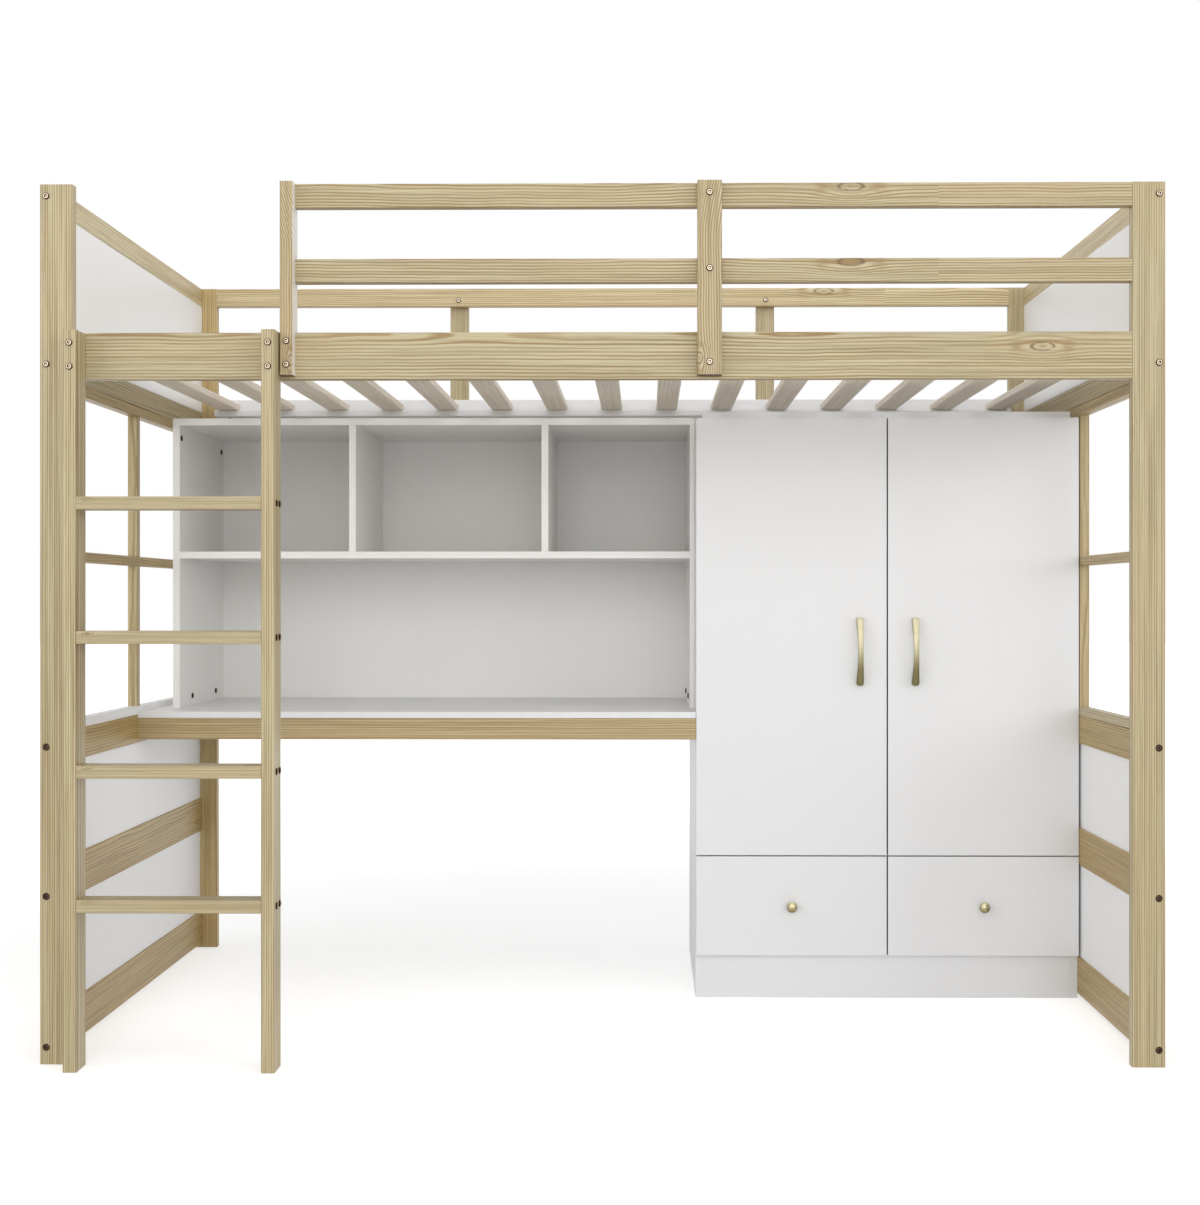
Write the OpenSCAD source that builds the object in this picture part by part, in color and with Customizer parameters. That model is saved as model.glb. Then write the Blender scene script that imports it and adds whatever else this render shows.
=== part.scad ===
// Loft bed over a desk, a shelf unit and a wardrobe with two doors and two drawers.
// Millimetres, +X along the bed, +Y to the back, +Z up.
// The origin is on the floor under the middle of everything that the bed covers.

/* [Posts and rails] */
// Length over the outer edges of the posts
bed_length = 2010; // [1960:1:2150]
// Depth over the front posts and the rear posts
bed_depth = 1070; // [1020:1:1150]
// Height of the posts
bed_height = 1576; // [1520:1:1700]
// Width of a post's front face
post_w = 59; // [50:1:70]
// Thickness of a post, front to back
post_t = 22; // [20:1:28]
// Height of the posts above the underside of the two long side rails
guard_rise = 350; // [320:1:420]
// Height of a side rail
side_rail_h = 84; // [76:1:100]
// Radius that eases the long edges of the timber
edge_r = 2; // [0.5:0.5:3]

/* [End frames] */
// Thickness of the rails between the posts of an end frame
end_rail_t = 23; // [20:1:28]
// Height of the top rail and of the rail level with the slats
end_rail_h = 43.5; // [38:0.5:50]
// How far the rail level with the slats lies above the underside of the side rails
slat_level_rise = 10; // [4:1:16]
// Height of the two lowest rails
low_rail_h = 78; // [60:1:90]
// Height of the rail beside the desk
desk_rail_h = 58.5; // [50:0.5:70]
// Underside of the lowest rail above the floor
foot_gap = 10; // [5:1:20]
// Underside of the second rail above the floor
second_rail_z = 280; // [240:1:320]
// Underside of the rail beside the desk above the floor
desk_rail_z = 533; // [500:1:560]
// Thickness of the white panel above the slats
high_panel_t = 15; // [12:0.5:16]
// Thickness of the white panels below the desk rail
low_panel_t = 9; // [6:0.5:10]
// How far the low panels lie behind the inner face of the rails
low_panel_inset = 4; // [2:0.5:6]
// How deep a panel sits in its grooves
groove_depth = 6; // [4:0.5:8]
// Clearance round a panel in its groove
groove_gap = 0.2; // [0.1:0.05:0.4]

/* [Windows in the end frames] */
// Thickness of the window bars through the end frame
bar_t = 20; // [16:1:22]
// Height of the bar under the slat rail, and of the crossbar
bar_h = 20; // [16:1:24]
// Width of the upright window bar
upright_w = 22; // [16:1:28]
// Front edge of the upright bar behind the front of the posts
upright_y = 523; // [450:1:600]
// Underside of the crossbar above the floor
crossbar_z = 902.5; // [820:0.5:980]
// Height of the sill on the desk rail
sill_h = 18; // [14:1:22]

/* [Slats] */
// Number of slats
slat_count = 15; // [10:1:16]
// Width of a slat
slat_w = 48.5; // [40:0.5:60]
// Thickness of a slat
slat_t = 15; // [10:0.5:18]
// Space between a post and the nearest slat
slat_margin = 8.5; // [4:0.5:20]
// Height of the ledge that carries the slats
ledge_h = 15; // [12:1:25]
// Depth of that ledge
ledge_t = 25; // [18:1:30]
// Top of the ledge below the top of the side rail
ledge_drop = 26.5; // [22:0.5:34]

/* [Guard rails] */
// Height of a guard rail
guard_rail_h = 43; // [36:1:50]
// Open height between the two front guard rails
guard_gap = 91.5; // [70:0.5:130]
// Thickness of the guard rails and of the boards that carry them
guard_t = 22; // [18:1:22]
// Width of the carrying boards
guard_board_w = 43.5; // [36:0.5:56]
// Width of the post where the guard begins beside the ladder
guard_post_w = 23.5; // [20:0.5:30]
// Space between the ladder and that post
guard_post_gap = 2; // [1:0.5:10]
// Lower end of the boards above the underside of the side rail
guard_board_lift = 5.5; // [2:0.5:12]
// Centre of the front board from the left end of the bed
front_board_x = 1198.7; // [1100:0.1:1300]
// Centre of the rear boards from the left and the right end of the bed
rear_board_x = 638; // [500:1:800]

/* [Ladder] */
// Width of a stile, seen from the front
stile_w = 24; // [20:1:30]
// Depth of a stile
stile_d = 55; // [45:1:70]
// Width over both stiles
ladder_w = 374; // [340:1:420]
// Top of the stiles below the top of the side rail
stile_drop = 2.5; // [0.5:0.5:10]
// Height of a rung
rung_h = 23; // [20:1:28]
// Depth of a rung
rung_d = 50; // [40:1:54]
// How far the rungs lie behind the front of the stiles
rung_setback = 1; // [0.5:0.5:4]
// Underside of the lowest rung above the floor
first_rung_z = 280; // [240:1:300]
// Height from one rung to the next
rung_pitch = 237; // [215:1:245]
// Number of rungs
rung_count = 4; // [3:1:4]

/* [Bolts] */
// Diameter of the bolts
bolt_d = 6; // [5:0.5:7]
// Diameter of a bolt head
head_d = 12; // [10:0.5:14]
// Height of a bolt head
head_h = 3; // [2:0.5:4]
// Size of the hexagon in a head, across its corners
hex_d = 6; // [4:0.5:7]
// Diameter of the cross nuts in the rails
nut_d = 10; // [9:0.5:11]
// From the end of a rail to the middle of its cross nut
nut_reach = 30; // [24:1:40]
// Radial clearance of a bolt in its hole
bolt_gap = 0.3; // [0.2:0.05:0.5]
// Depth of the recess round a sunk head
sunk_depth = 5; // [4:0.5:7]
// Length of a cross nut
nut_l = 14; // [11:1:16]
// Length of a threaded insert
insert_l = 12; // [10:1:15]
// Diameter of the screws
screw_d = 4; // [3.5:0.5:5]
// Radial clearance of a screw in its hole
screw_gap = 0.1; // [0.05:0.05:0.3]

/* [Desk] */
// Top of the desk above the floor
desk_z = 598; // [590:0.5:604]
// Thickness of the desk top
desk_t = 13; // [12:0.5:20]
// Front of the desk behind the front of the posts
desk_y = 522; // [450:1:560]
// Height of the aprons under the desk top
apron_h = 45; // [35:1:60]
// Thickness of the aprons
apron_t = 22; // [18:1:28]

/* [Shelf unit on the desk] */
// Front of the shelf unit behind the front of the posts
hutch_y = 655; // [620:1:760]
// Thickness of its boards
hutch_t = 15; // [12:0.5:18]
// Thickness of the side board that stands against the wardrobe
hutch_side_right_t = 9; // [8:0.5:15]
// Left face of the shelf unit from the left end of the bed
hutch_x = 60.5; // [60:0.5:120]
// Underside of the long shelf above the floor
shelf_z = 921.5; // [850:0.5:980]
// Clear width of the left compartment
left_bay_w = 367.5; // [300:0.5:420]
// Clear width of the middle compartment
middle_bay_w = 402; // [330:1:450]
// Top of the shelf unit below the side rail
hutch_gap = 1; // [0.5:0.5:6]
// Height of the lower connecting bolts above the desk
link_rise = 21; // [14:1:60]
// Depth of the upper connecting bolts under the top of the shelf unit
link_drop = 27; // [14:1:60]
// Thickness of the thin back boards
back_t = 3; // [3:0.5:6]

/* [Wardrobe] */
// Width of the wardrobe, which stands against the right end frame
wardrobe_w = 797; // [740:1:830]
// Front edges of its side boards behind the front of the posts
wardrobe_y = 538; // [440:1:560]
// Thickness of its boards
case_t = 15; // [14:0.5:18]
// Thickness of its top board
case_top_t = 25; // [18:0.5:30]
// How far the top board stands above the side boards
case_top_rise = 14; // [8:0.5:16]
// Top of the top board below the side rail
case_top_gap = 1; // [0.5:0.5:6]
// Height of the plinth
plinth_h = 90; // [60:1:120]
// Height of a drawer front
drawer_front_h = 206; // [180:1:240]
// Thickness of the doors and drawer fronts
front_t = 15; // [14:0.5:18]
// Space between the fronts and the case behind them
front_gap = 1; // [0.5:0.25:2]
// Reveal between the edges of the fronts and the outside of the case
reveal = 1; // [0.75:0.25:2.5]
// Gap between two fronts that meet
meeting_gap = 3; // [2:0.25:4]

/* [Door hinges] */
// Diameter of a hinge cup
cup_d = 35; // [30:1:35]
// Depth of a hinge cup
cup_depth = 11.5; // [10:0.5:12]
// Centre of a cup from the edge of the door
cup_inset = 23; // [21.5:0.5:25]
// Centre of the outer cups from the top and bottom edges of the door
cup_end = 100; // [80:1:150]
// Hinges on each door
hinge_count = 3; // [2:1:3]
// Thickness of the sheet steel in the cups and plates
sheet_t = 1.2; // [1:0.1:2]

/* [Drawers] */
// Height of the drawer sides
box_h = 120; // [90:1:140]
// Thickness of the drawer sides and back
box_t = 12; // [10:0.5:15]
// Space behind a drawer box
box_back_space = 58; // [30:1:110]
// Underside of the drawer sides above the bottom edge of the front
box_rise = 33; // [20:1:40]
// Thickness of the drawer bottom
tray_t = 4; // [3:0.5:6]
// Underside of the drawer bottom above the underside of the sides
tray_rise = 8; // [6:1:12]
// How deep the drawer bottom sits in its grooves
tray_groove = 6; // [4:0.5:7]
// Space for a slide between the case and a drawer side
slide_space = 12.7; // [12.5:0.1:14]
// Height of a slide
slide_h = 40; // [35:1:46]
// Clear space round the moving rail in its channel
slide_gap = 0.6; // [0.4:0.1:1]

/* [Handles and knobs] */
// Length of a door handle
handle_l = 141; // [120:1:160]
// Width of a door handle at its ends
handle_end_w = 15; // [12:0.5:18]
// Width of a door handle in the middle
handle_mid_w = 10.6; // [8:0.2:14]
// How far a door handle stands out from the door
handle_reach = 25; // [20:1:32]
// Thickness of the strap in its middle
strap_t = 4; // [3:0.5:6]
// Length of the foot at each end of a handle
handle_foot = 13; // [10:0.5:18]
// Distance between the two screws of a handle
handle_hole = 128; // [110:1:130]
// How deep a screw reaches into a handle or a knob
handle_screw_bite = 10; // [6:1:12]
// Centre of a handle above the floor
handle_z = 724; // [600:1:850]
// Centre of a handle from the edge where the doors meet
handle_inset = 56; // [40:1:80]
// Diameter of a drawer knob
knob_d = 21; // [18:0.5:30]
// How far a knob stands out
knob_reach = 25; // [18:1:28]

/* [Clothes rail] */
// Diameter of the clothes rail
rail_d = 25; // [20:1:30]
// Wall of the clothes rail
rail_wall = 1.5; // [1:0.1:2.5]
// Centre of the clothes rail below the top board
rail_drop = 60; // [45:1:90]

/* [Hidden] */
$fn = 40;

// How far a cut starts outside the face that it opens
over = 1;

// Where things are: bed measures run from the left end, the front of the posts and the floor
front_reach = stile_d + head_h;
rear_reach = guard_t;
rear_post_y = bed_depth - post_t;
side_rail_z = bed_height - guard_rise;
side_rail_top = side_rail_z + side_rail_h;
slat_z = side_rail_top - ledge_drop;

// Bolts, nuts and screws
bolt_r = bolt_d / 2;
hole_r = bolt_r + bolt_gap;
head_r = head_d / 2;
sunk_r = head_r + 2 * bolt_gap;
nut_r = nut_d / 2;
nut_hole_r = nut_r + bolt_gap;
nut_tail = 8;
nut_slot_w = 1.5;
nut_slot_d = 1.2;
bolt_end = 2;
screw_r = screw_d / 2;
screw_hole_r = screw_r + screw_gap;
screw_head_r = screw_d;
screw_head_h = screw_d * 0.55;

// End frame heights
end_line = end_rail_t / 2;
top_rail_z = bed_height - end_rail_h;
slat_rail_z = side_rail_z + slat_level_rise;
slat_rail_top = slat_rail_z + end_rail_h;
window_top_z = slat_rail_z - bar_h;
desk_rail_top = desk_rail_z + desk_rail_h;
sill_top = desk_rail_top + sill_h;
low_rail_top = foot_gap + low_rail_h;
second_rail_top = second_rail_z + low_rail_h;
end_span = rear_post_y - post_t;
bar_x = (end_rail_t - bar_t) / 2;

// Panels and their grooves
tongue_t = low_panel_t;
tongue_x = end_rail_t - low_panel_inset - low_panel_t;
groove_cut = groove_depth + groove_gap;
groove_w = tongue_t + 2 * groove_gap;
low_panel_spans = [[low_rail_top, second_rail_z], [second_rail_top, desk_rail_z]];
panel_spans = concat(low_panel_spans, [[slat_rail_top, top_rail_z]]);

// End frame bolts: plain heads beside the slats, sunk heads below the desk
sunk_bolt_rise = 20.5;
desk_bolt_rise = desk_rail_h * 0.6;
slat_bolt_rise = end_rail_h * 0.42;
top_bolt_rise = end_rail_h * 0.52;
plain_bolt_z = [slat_rail_z + slat_bolt_rise, top_rail_z + top_bolt_rise];
sunk_bolt_z = [foot_gap + sunk_bolt_rise, second_rail_z + sunk_bolt_rise, desk_rail_z + desk_bolt_rise];

// Bolts of the side rails, clear of the bolts that cross them
rail_line = post_t / 2;
side_bolt_z = [side_rail_z + side_rail_h * 0.44, side_rail_top - nut_d];

// Slats
slat_step = (bed_length - 2 * post_w - 2 * slat_margin - slat_w) / (slat_count - 1);
slat_start = post_w + slat_margin;
slat_fit = 0.5;

// Guard
ladder_x = post_w;
guard_post_x = ladder_x + ladder_w + guard_post_gap;
guard_post_line = guard_post_x + guard_post_w / 2;
guard_x = guard_post_x + guard_post_w;
guard_top_z = bed_height - guard_rail_h;
guard_mid_z = guard_top_z - guard_gap - guard_rail_h;
guard_line_z = [guard_mid_z + guard_rail_h / 2, guard_top_z + guard_rail_h / 2];
corner_bolt_z = guard_top_z + nut_d;
guard_board_z = side_rail_z + guard_board_lift;
guard_foot_z = side_rail_z + side_rail_h / 3;
guard_post_bolt_z = [guard_foot_z - 4, side_rail_top - 18];
rear_bolt_z = guard_top_z + guard_rail_h * 0.35;
rear_boards = [rear_board_x, bed_length - rear_board_x];

// Ladder
stile_x = [ladder_x, ladder_x + ladder_w - stile_w];
stile_line = [stile_x[0] + stile_w / 2, stile_x[1] + stile_w / 2];
stile_top = side_rail_top - stile_drop;
stile_bolt_z = [side_rail_z + side_rail_h * 0.2, side_rail_z + side_rail_h * 0.7];
rung_l = ladder_w - 2 * stile_w;
rung_y = -stile_d + rung_setback;
rung_bolt_y = [rung_y + rung_d * 0.3, rung_y + rung_d * 0.8];
rung_bolt_l = 50;

// Desk and shelf unit
desk_x = end_rail_t;
wardrobe_right = bed_length - end_rail_t;
wardrobe_x = wardrobe_right - wardrobe_w;
desk_l = wardrobe_x - desk_x;
desk_d = rear_post_y - desk_y;
hutch_top = side_rail_z - hutch_gap;
hutch_w = wardrobe_x - hutch_x;
board_back_y = rear_post_y - back_t;
hutch_d = board_back_y - hutch_y;
hutch_in_x = hutch_x + hutch_t;
hutch_in_w = hutch_w - hutch_t - hutch_side_right_t;
hutch_in_right = hutch_in_x + hutch_in_w;
hutch_roof_z = hutch_top - hutch_t;
shelf_top = shelf_z + hutch_t;
divider_x = [hutch_in_x + left_bay_w, hutch_in_x + left_bay_w + hutch_t + middle_bay_w];

// Connecting bolts of the shelf unit: depth from its front, and height
link_z = [desk_z + link_rise, hutch_roof_z - link_drop];
link_low = [[hutch_d * 0.265, link_z[0]], [hutch_d * 0.805, link_z[0]]];
link_high = [[head_d, link_z[1]], [hutch_d - 2 * head_d, link_z[1]]];
sleeve_r = bolt_r + 1.5;
sleeve_flange = 1.5;

// Wardrobe
case_top_z = side_rail_z - case_top_gap - case_top_t;
case_h = side_rail_z - case_top_gap - case_top_rise;
case_in_x = wardrobe_x + case_t;
case_in_w = wardrobe_w - 2 * case_t;
case_d = board_back_y - wardrobe_y;
middle_x = wardrobe_x + wardrobe_w / 2;
case_floor_top = plinth_h + case_t;

// Fronts
front_back_y = wardrobe_y - front_gap;
front_y = front_back_y - front_t;
front_x = wardrobe_x + reveal;
front_w = (wardrobe_w - meeting_gap) / 2 - reveal;
drawer_front_z = plinth_h + reveal;
drawer_front_top = drawer_front_z + drawer_front_h;
door_z = drawer_front_top + meeting_gap;
door_h = case_h - door_z;
deck_z = (drawer_front_top + door_z - case_t) / 2;

// Hinges
hinge_step = (door_h - 2 * cup_end) / (hinge_count - 1);
hinge_z = [for (k = [0:hinge_count - 1]) door_z + cup_end + k * hinge_step];
cup_x = front_x + cup_inset;
cup_fit = 0.05;
plate_l = 45;
plate_w = 50;
plate_t = 2;
plate_setback = 15;
plate_y = wardrobe_y + plate_setback;
plate_screw_z = [-plate_w / 3, plate_w / 3];
plate_screw_y = plate_y + plate_l / 2;
plate_screw_l = case_t * 0.8;
arm_w = 16;
arm_d = 9;
arm_gap = 0.3;
link_gap = 1;
arm_y = front_back_y + arm_gap;

// Drawers
slot_w = (case_in_w - case_t) / 2;
box_x = case_in_x + slide_space;
box_w = slot_w - 2 * slide_space;
box_in_w = box_w - 2 * box_t;
box_z = drawer_front_z + box_rise;
tray_fit = 0.15;
slide_setback = 3;
box_depth = board_back_y - front_back_y - box_back_space;
slide_l = box_depth - 10;
slide_y = wardrobe_y + slide_setback;
slide_z = box_z + (box_h - slide_h) / 2;
channel_d = slide_space - 2.5;
lip = slide_h / 5;

// Handles and knobs
handle_x = front_x + front_w - handle_inset;
pull_screw_l = front_t + handle_screw_bite;
knob_x = front_x + front_w / 2;
knob_z = drawer_front_z + drawer_front_h / 2;

// Clothes rail
rail_z = case_top_z - rail_drop;
rail_y = wardrobe_y + case_d / 2;
rail_fit = 0.3;
socket_r = rail_d / 2 + 4;
socket_l = 12;
socket_base = 3;

pine = [0.80, 0.72, 0.56];
white = [0.93, 0.93, 0.93];
birch = [0.85, 0.80, 0.73];
copper = [0.66, 0.50, 0.42];
steel = [0.62, 0.62, 0.64];
dark_steel = [0.25, 0.22, 0.20];
gold = [0.75, 0.70, 0.48];

// Moves a piece from bed measures to the origin under the middle of the bed
module placed() {
    translate([-bed_length / 2, -(bed_depth + rear_reach - front_reach) / 2, 0]) children();
}

// Reflects a left-hand piece to the right end of the bed
module to_right() {
    translate([bed_length, 0, 0]) mirror([1, 0, 0]) children();
}

// Reflects a front piece to the back of the bed
module to_rear() {
    translate([0, bed_depth, 0]) mirror([0, 1, 0]) children();
}

// A left-hand piece and its reflection at the right end of the bed
module both_ends() {
    children();
    to_right() children();
}

// Reflects a left-hand piece about the middle of the wardrobe
module to_right_half() {
    translate([2 * middle_x, 0, 0]) mirror([1, 0, 0]) children();
}

// Corners of a section a by b with its corners eased
function eased(a, b, r) = [
    for (corner = [[r, r, 180], [a - r, r, 270], [a - r, b - r, 0], [r, b - r, 90]], turn = [0, 45, 90])
        [corner.x + r * cos(corner.z + turn), corner.y + r * sin(corner.z + turn)]
];

// Timber along X, Y or Z, from its lowest corner, with its long edges eased
module timber_x(size) {
    rotate([90, 0, 90]) linear_extrude(size.x) polygon(eased(size.y, size.z, edge_r));
}

module timber_y(size) {
    translate([0, size.y, 0]) rotate([90, 0, 0]) linear_extrude(size.y)
        polygon(eased(size.x, size.z, edge_r));
}

module timber_z(size) {
    linear_extrude(size.z) polygon(eased(size.x, size.y, edge_r));
}

// Turns a piece that points along +Z to point along +X or +Y
module along_x() {
    rotate([0, 90, 0]) children();
}

module along_y() {
    rotate([-90, 0, 0]) children();
}

// Round cut from just outside the face where it starts
module hole(r, depth) {
    translate([0, 0, -over]) cylinder(r = r, h = depth + over);
}

// Bolt along +Z: the head stands below the origin and the shank above it
module bolt(length) {
    rim = head_h * 0.4;
    difference() {
        union() {
            translate([0, 0, -head_h]) cylinder(r1 = head_r * 0.8, r2 = head_r, h = rim);
            translate([0, 0, rim - head_h]) cylinder(r = head_r, h = head_h - rim);
            cylinder(r = bolt_r, h = length);
        }
        translate([0, 0, -head_h - over]) cylinder(r = hex_d / 2, h = head_h * 0.7 + over, $fn = 6);
    }
}

// Wood screw along +Z with a round head that has a slot
module screw(length) {
    slot_w = screw_d * 0.25;
    difference() {
        union() {
            translate([0, 0, -screw_head_h])
                cylinder(r1 = screw_head_r * 0.6, r2 = screw_head_r, h = screw_head_h);
            cylinder(r = screw_r, h = length);
        }
        translate([-screw_d, -slot_w / 2, -screw_head_h - over])
            cube([2 * screw_d, slot_w, screw_head_h / 2 + over]);
    }
}

// Bolt length from an outer face through a piece and past the cross nut
function nut_bolt_l(through) = through + nut_reach + nut_tail;

// Cross nut along +Z, its slotted end at the origin, bored across for its bolt
module cross_nut() {
    difference() {
        cylinder(r = nut_r, h = nut_l);
        translate([-nut_r, 0, nut_l / 2]) along_x() hole(hole_r, nut_d + over);
        translate([-nut_r, -nut_slot_w / 2, -over]) cube([nut_d, nut_slot_w, nut_slot_d + over]);
    }
}

// Threaded insert that lies flush with the face where it starts
module insert_nut() {
    difference() {
        cylinder(r = nut_r, h = insert_l);
        hole(hole_r, insert_l + over);
    }
}

// Bore for an insert and for the end of its bolt
module insert_hole() {
    hole(nut_hole_r, insert_l + bolt_gap);
    hole(hole_r, post_t - bolt_end);
}

// Length of a bolt that passes through a piece into an insert
function insert_bolt_l(through) = through + post_t - 2 * bolt_end;

// Sleeve with a flange that takes a connecting bolt from the other face of its boards
module sleeve(length) {
    difference() {
        union() {
            translate([0, 0, -sleeve_flange]) cylinder(r = head_r, h = sleeve_flange);
            cylinder(r = sleeve_r, h = length);
        }
        hole(hole_r, length + 2 * over);
        translate([0, 0, -sleeve_flange - over]) cylinder(r = hex_d / 2, h = over + sleeve_flange, $fn = 6);
    }
}

// Cuts at both ends of an end rail: bolt holes, and nut holes from the outer face
module end_rail_holes(z) {
    nut_depth = end_line + nut_l / 2 + bolt_gap;
    reach = nut_reach + nut_tail + over;
    for (start = [post_t, rear_post_y - reach]) {
        translate([end_line, start, z]) along_y() hole(hole_r, reach + over);
    }
    for (y = [post_t + nut_reach, rear_post_y - nut_reach]) {
        translate([0, y, z]) along_x() hole(nut_hole_r, nut_depth);
    }
}

// Rail of an end frame, with grooves in its underside and top for the panels that meet it
module end_rail(z, h, bolt_z, grooves) {
    difference() {
        translate([0, post_t, z]) timber_y([end_rail_t, end_span, h]);
        end_rail_holes(bolt_z);
        for (side = grooves) {
            cut_z = side < 0 ? z - over : z + h - groove_cut;
            translate([tongue_x - groove_gap, 0, cut_z]) cube([groove_w, bed_depth, groove_cut + over]);
        }
    }
}

// Post at the front left corner, bored for its rails and grooved for its panels
module corner_post(guard_bolts) {
    difference() {
        timber_z([post_w, post_t, bed_height]);
        for (z = concat(plain_bolt_z, sunk_bolt_z)) {
            translate([end_line, 0, z]) along_y() hole(hole_r, post_t + over);
        }
        for (z = sunk_bolt_z) {
            translate([end_line, 0, z]) along_y() hole(sunk_r, sunk_depth);
        }
        for (z = concat(side_bolt_z, guard_bolts)) {
            translate([0, rail_line, z]) along_x() hole(hole_r, post_w + over);
            translate([0, rail_line, z]) along_x() hole(sunk_r, sunk_depth);
        }
        for (span = panel_spans) {
            translate([tongue_x - groove_gap, post_t - groove_cut, span[0] - groove_cut])
                cube([groove_w, groove_cut + over, span[1] - span[0] + 2 * groove_cut]);
        }
    }
}

module post_front_left() {
    color(pine) placed() corner_post([]);
}

module post_front_right() {
    color(pine) placed() to_right() corner_post([guard_line_z[0], corner_bolt_z]);
}

module post_rear_left() {
    color(pine) placed() to_rear() corner_post([corner_bolt_z]);
}

module post_rear_right() {
    color(pine) placed() to_right() to_rear() corner_post([corner_bolt_z]);
}

// Bolt hole and blind nut hole at the end of a rail along X that points away from its end
module rail_end_holes(x, inward, z) {
    reach = nut_reach + nut_tail + over;
    translate([inward > 0 ? x : x - reach, rail_line, z]) along_x() hole(hole_r, reach + over);
    translate([x + inward * nut_reach, post_t, z]) mirror([0, 1, 0]) along_y()
        hole(nut_hole_r, post_t / 2 + nut_l / 2 + bolt_gap);
}

// Rail between two posts, with the holes at its two ends
module long_rail(z, h, bolts_z) {
    difference() {
        translate([post_w, 0, z]) timber_x([bed_length - 2 * post_w, post_t, h]);
        for (bolt_z = bolts_z) {
            rail_end_holes(post_w, 1, bolt_z);
            rail_end_holes(bed_length - post_w, -1, bolt_z);
        }
    }
}

module side_rail_front() {
    color(pine) placed() difference() {
        long_rail(side_rail_z, side_rail_h, side_bolt_z);
        for (x = stile_line, z = stile_bolt_z) {
            translate([x, 0, z]) along_y() insert_hole();
        }
        for (z = guard_post_bolt_z) {
            translate([guard_post_line, 0, z]) along_y() insert_hole();
        }
        translate([front_board_x, 0, guard_foot_z]) along_y() insert_hole();
    }
}

module side_rail_rear() {
    color(white) placed() difference() {
        to_rear() long_rail(side_rail_z, side_rail_h, side_bolt_z);
        for (x = rear_boards) {
            translate([x, rear_post_y, guard_foot_z]) along_y() hole(hole_r, post_t + over);
        }
    }
}

module slat_ledges() {
    color(white) placed() for (y = [post_t, rear_post_y - ledge_t]) {
        translate([post_w, y, slat_z - ledge_h]) timber_x([bed_length - 2 * post_w, ledge_t, ledge_h]);
    }
}

module slats() {
    color(birch) placed() for (k = [0:slat_count - 1]) {
        translate([slat_start + k * slat_step, post_t + slat_fit, slat_z])
            timber_y([slat_w, end_span - 2 * slat_fit, slat_t]);
    }
}

// Front guard rail between the guard post and the right post
module front_guard_rail(z, right_bolt_z) {
    middle = z + guard_rail_h / 2;
    difference() {
        translate([guard_x, 0, z]) timber_x([bed_length - post_w - guard_x, guard_t, guard_rail_h]);
        rail_end_holes(bed_length - post_w, -1, right_bolt_z);
        rail_end_holes(guard_x, 1, middle);
        translate([front_board_x, 0, middle]) along_y() insert_hole();
    }
}

module guard_rail_top() {
    color(pine) placed() front_guard_rail(guard_top_z, corner_bolt_z);
}

module guard_rail_middle() {
    color(pine) placed() front_guard_rail(guard_mid_z, guard_line_z[0]);
}

// Post beside the ladder, rebated below where it laps over the side rail
module guard_post() {
    color(pine) placed() difference() {
        translate([guard_post_x, -guard_t, guard_board_z])
            timber_z([guard_post_w, 2 * guard_t, bed_height - guard_board_z]);
        translate([guard_post_x - over, 0, guard_board_z - over])
            cube([guard_post_w + 2 * over, guard_t + over, side_rail_top - guard_board_z + over]);
        for (z = guard_post_bolt_z) {
            translate([guard_post_line, -guard_t, z]) along_y() hole(hole_r, guard_t + over);
        }
        for (z = guard_line_z) {
            translate([guard_post_x, rail_line, z]) along_x() hole(hole_r, guard_post_w + over);
        }
    }
}

module guard_board_front() {
    color(pine) placed() difference() {
        translate([front_board_x - guard_board_w / 2, -guard_t, guard_board_z])
            timber_z([guard_board_w, guard_t, bed_height - guard_board_z]);
        for (z = concat([guard_foot_z], guard_line_z)) {
            translate([front_board_x, -guard_t, z]) along_y() hole(hole_r, guard_t + over);
        }
    }
}

module guard_rail_rear() {
    color(pine) placed() difference() {
        translate([0, rear_post_y, 0]) long_rail(guard_top_z, guard_rail_h, [corner_bolt_z]);
        for (x = rear_boards) {
            translate([x, rear_post_y, rear_bolt_z]) along_y() hole(hole_r, post_t + over);
        }
    }
}

module guard_boards_rear() {
    color(pine) placed() for (x = rear_boards) {
        difference() {
            translate([x - guard_board_w / 2, bed_depth, guard_board_z])
                timber_z([guard_board_w, guard_t, bed_height - guard_board_z]);
            for (z = [guard_foot_z, rear_bolt_z]) {
                translate([x, bed_depth, z]) along_y() insert_hole();
            }
        }
    }
}

module end_top_rails() {
    color(pine) placed() both_ends() end_rail(top_rail_z, end_rail_h, plain_bolt_z[1], [-1]);
}

module end_slat_rails() {
    color(pine) placed() both_ends() end_rail(slat_rail_z, end_rail_h, plain_bolt_z[0], [1]);
}

// Panel between two rails, with a tongue all round that sits in their grooves
module end_panel(span, x, t) {
    h = span[1] - span[0];
    translate([x, post_t, span[0]]) cube([t, end_span, h]);
    translate([tongue_x, post_t - groove_depth, span[0] - groove_depth])
        cube([tongue_t, end_span + 2 * groove_depth, h + 2 * groove_depth]);
}

module end_high_panels() {
    span = [slat_rail_top, top_rail_z];
    color(white) placed() both_ends() end_panel(span, end_rail_t - high_panel_t, high_panel_t);
}

module end_low_panels() {
    color(white) placed() both_ends() for (span = low_panel_spans) {
        end_panel(span, tongue_x, low_panel_t);
    }
}

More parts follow.
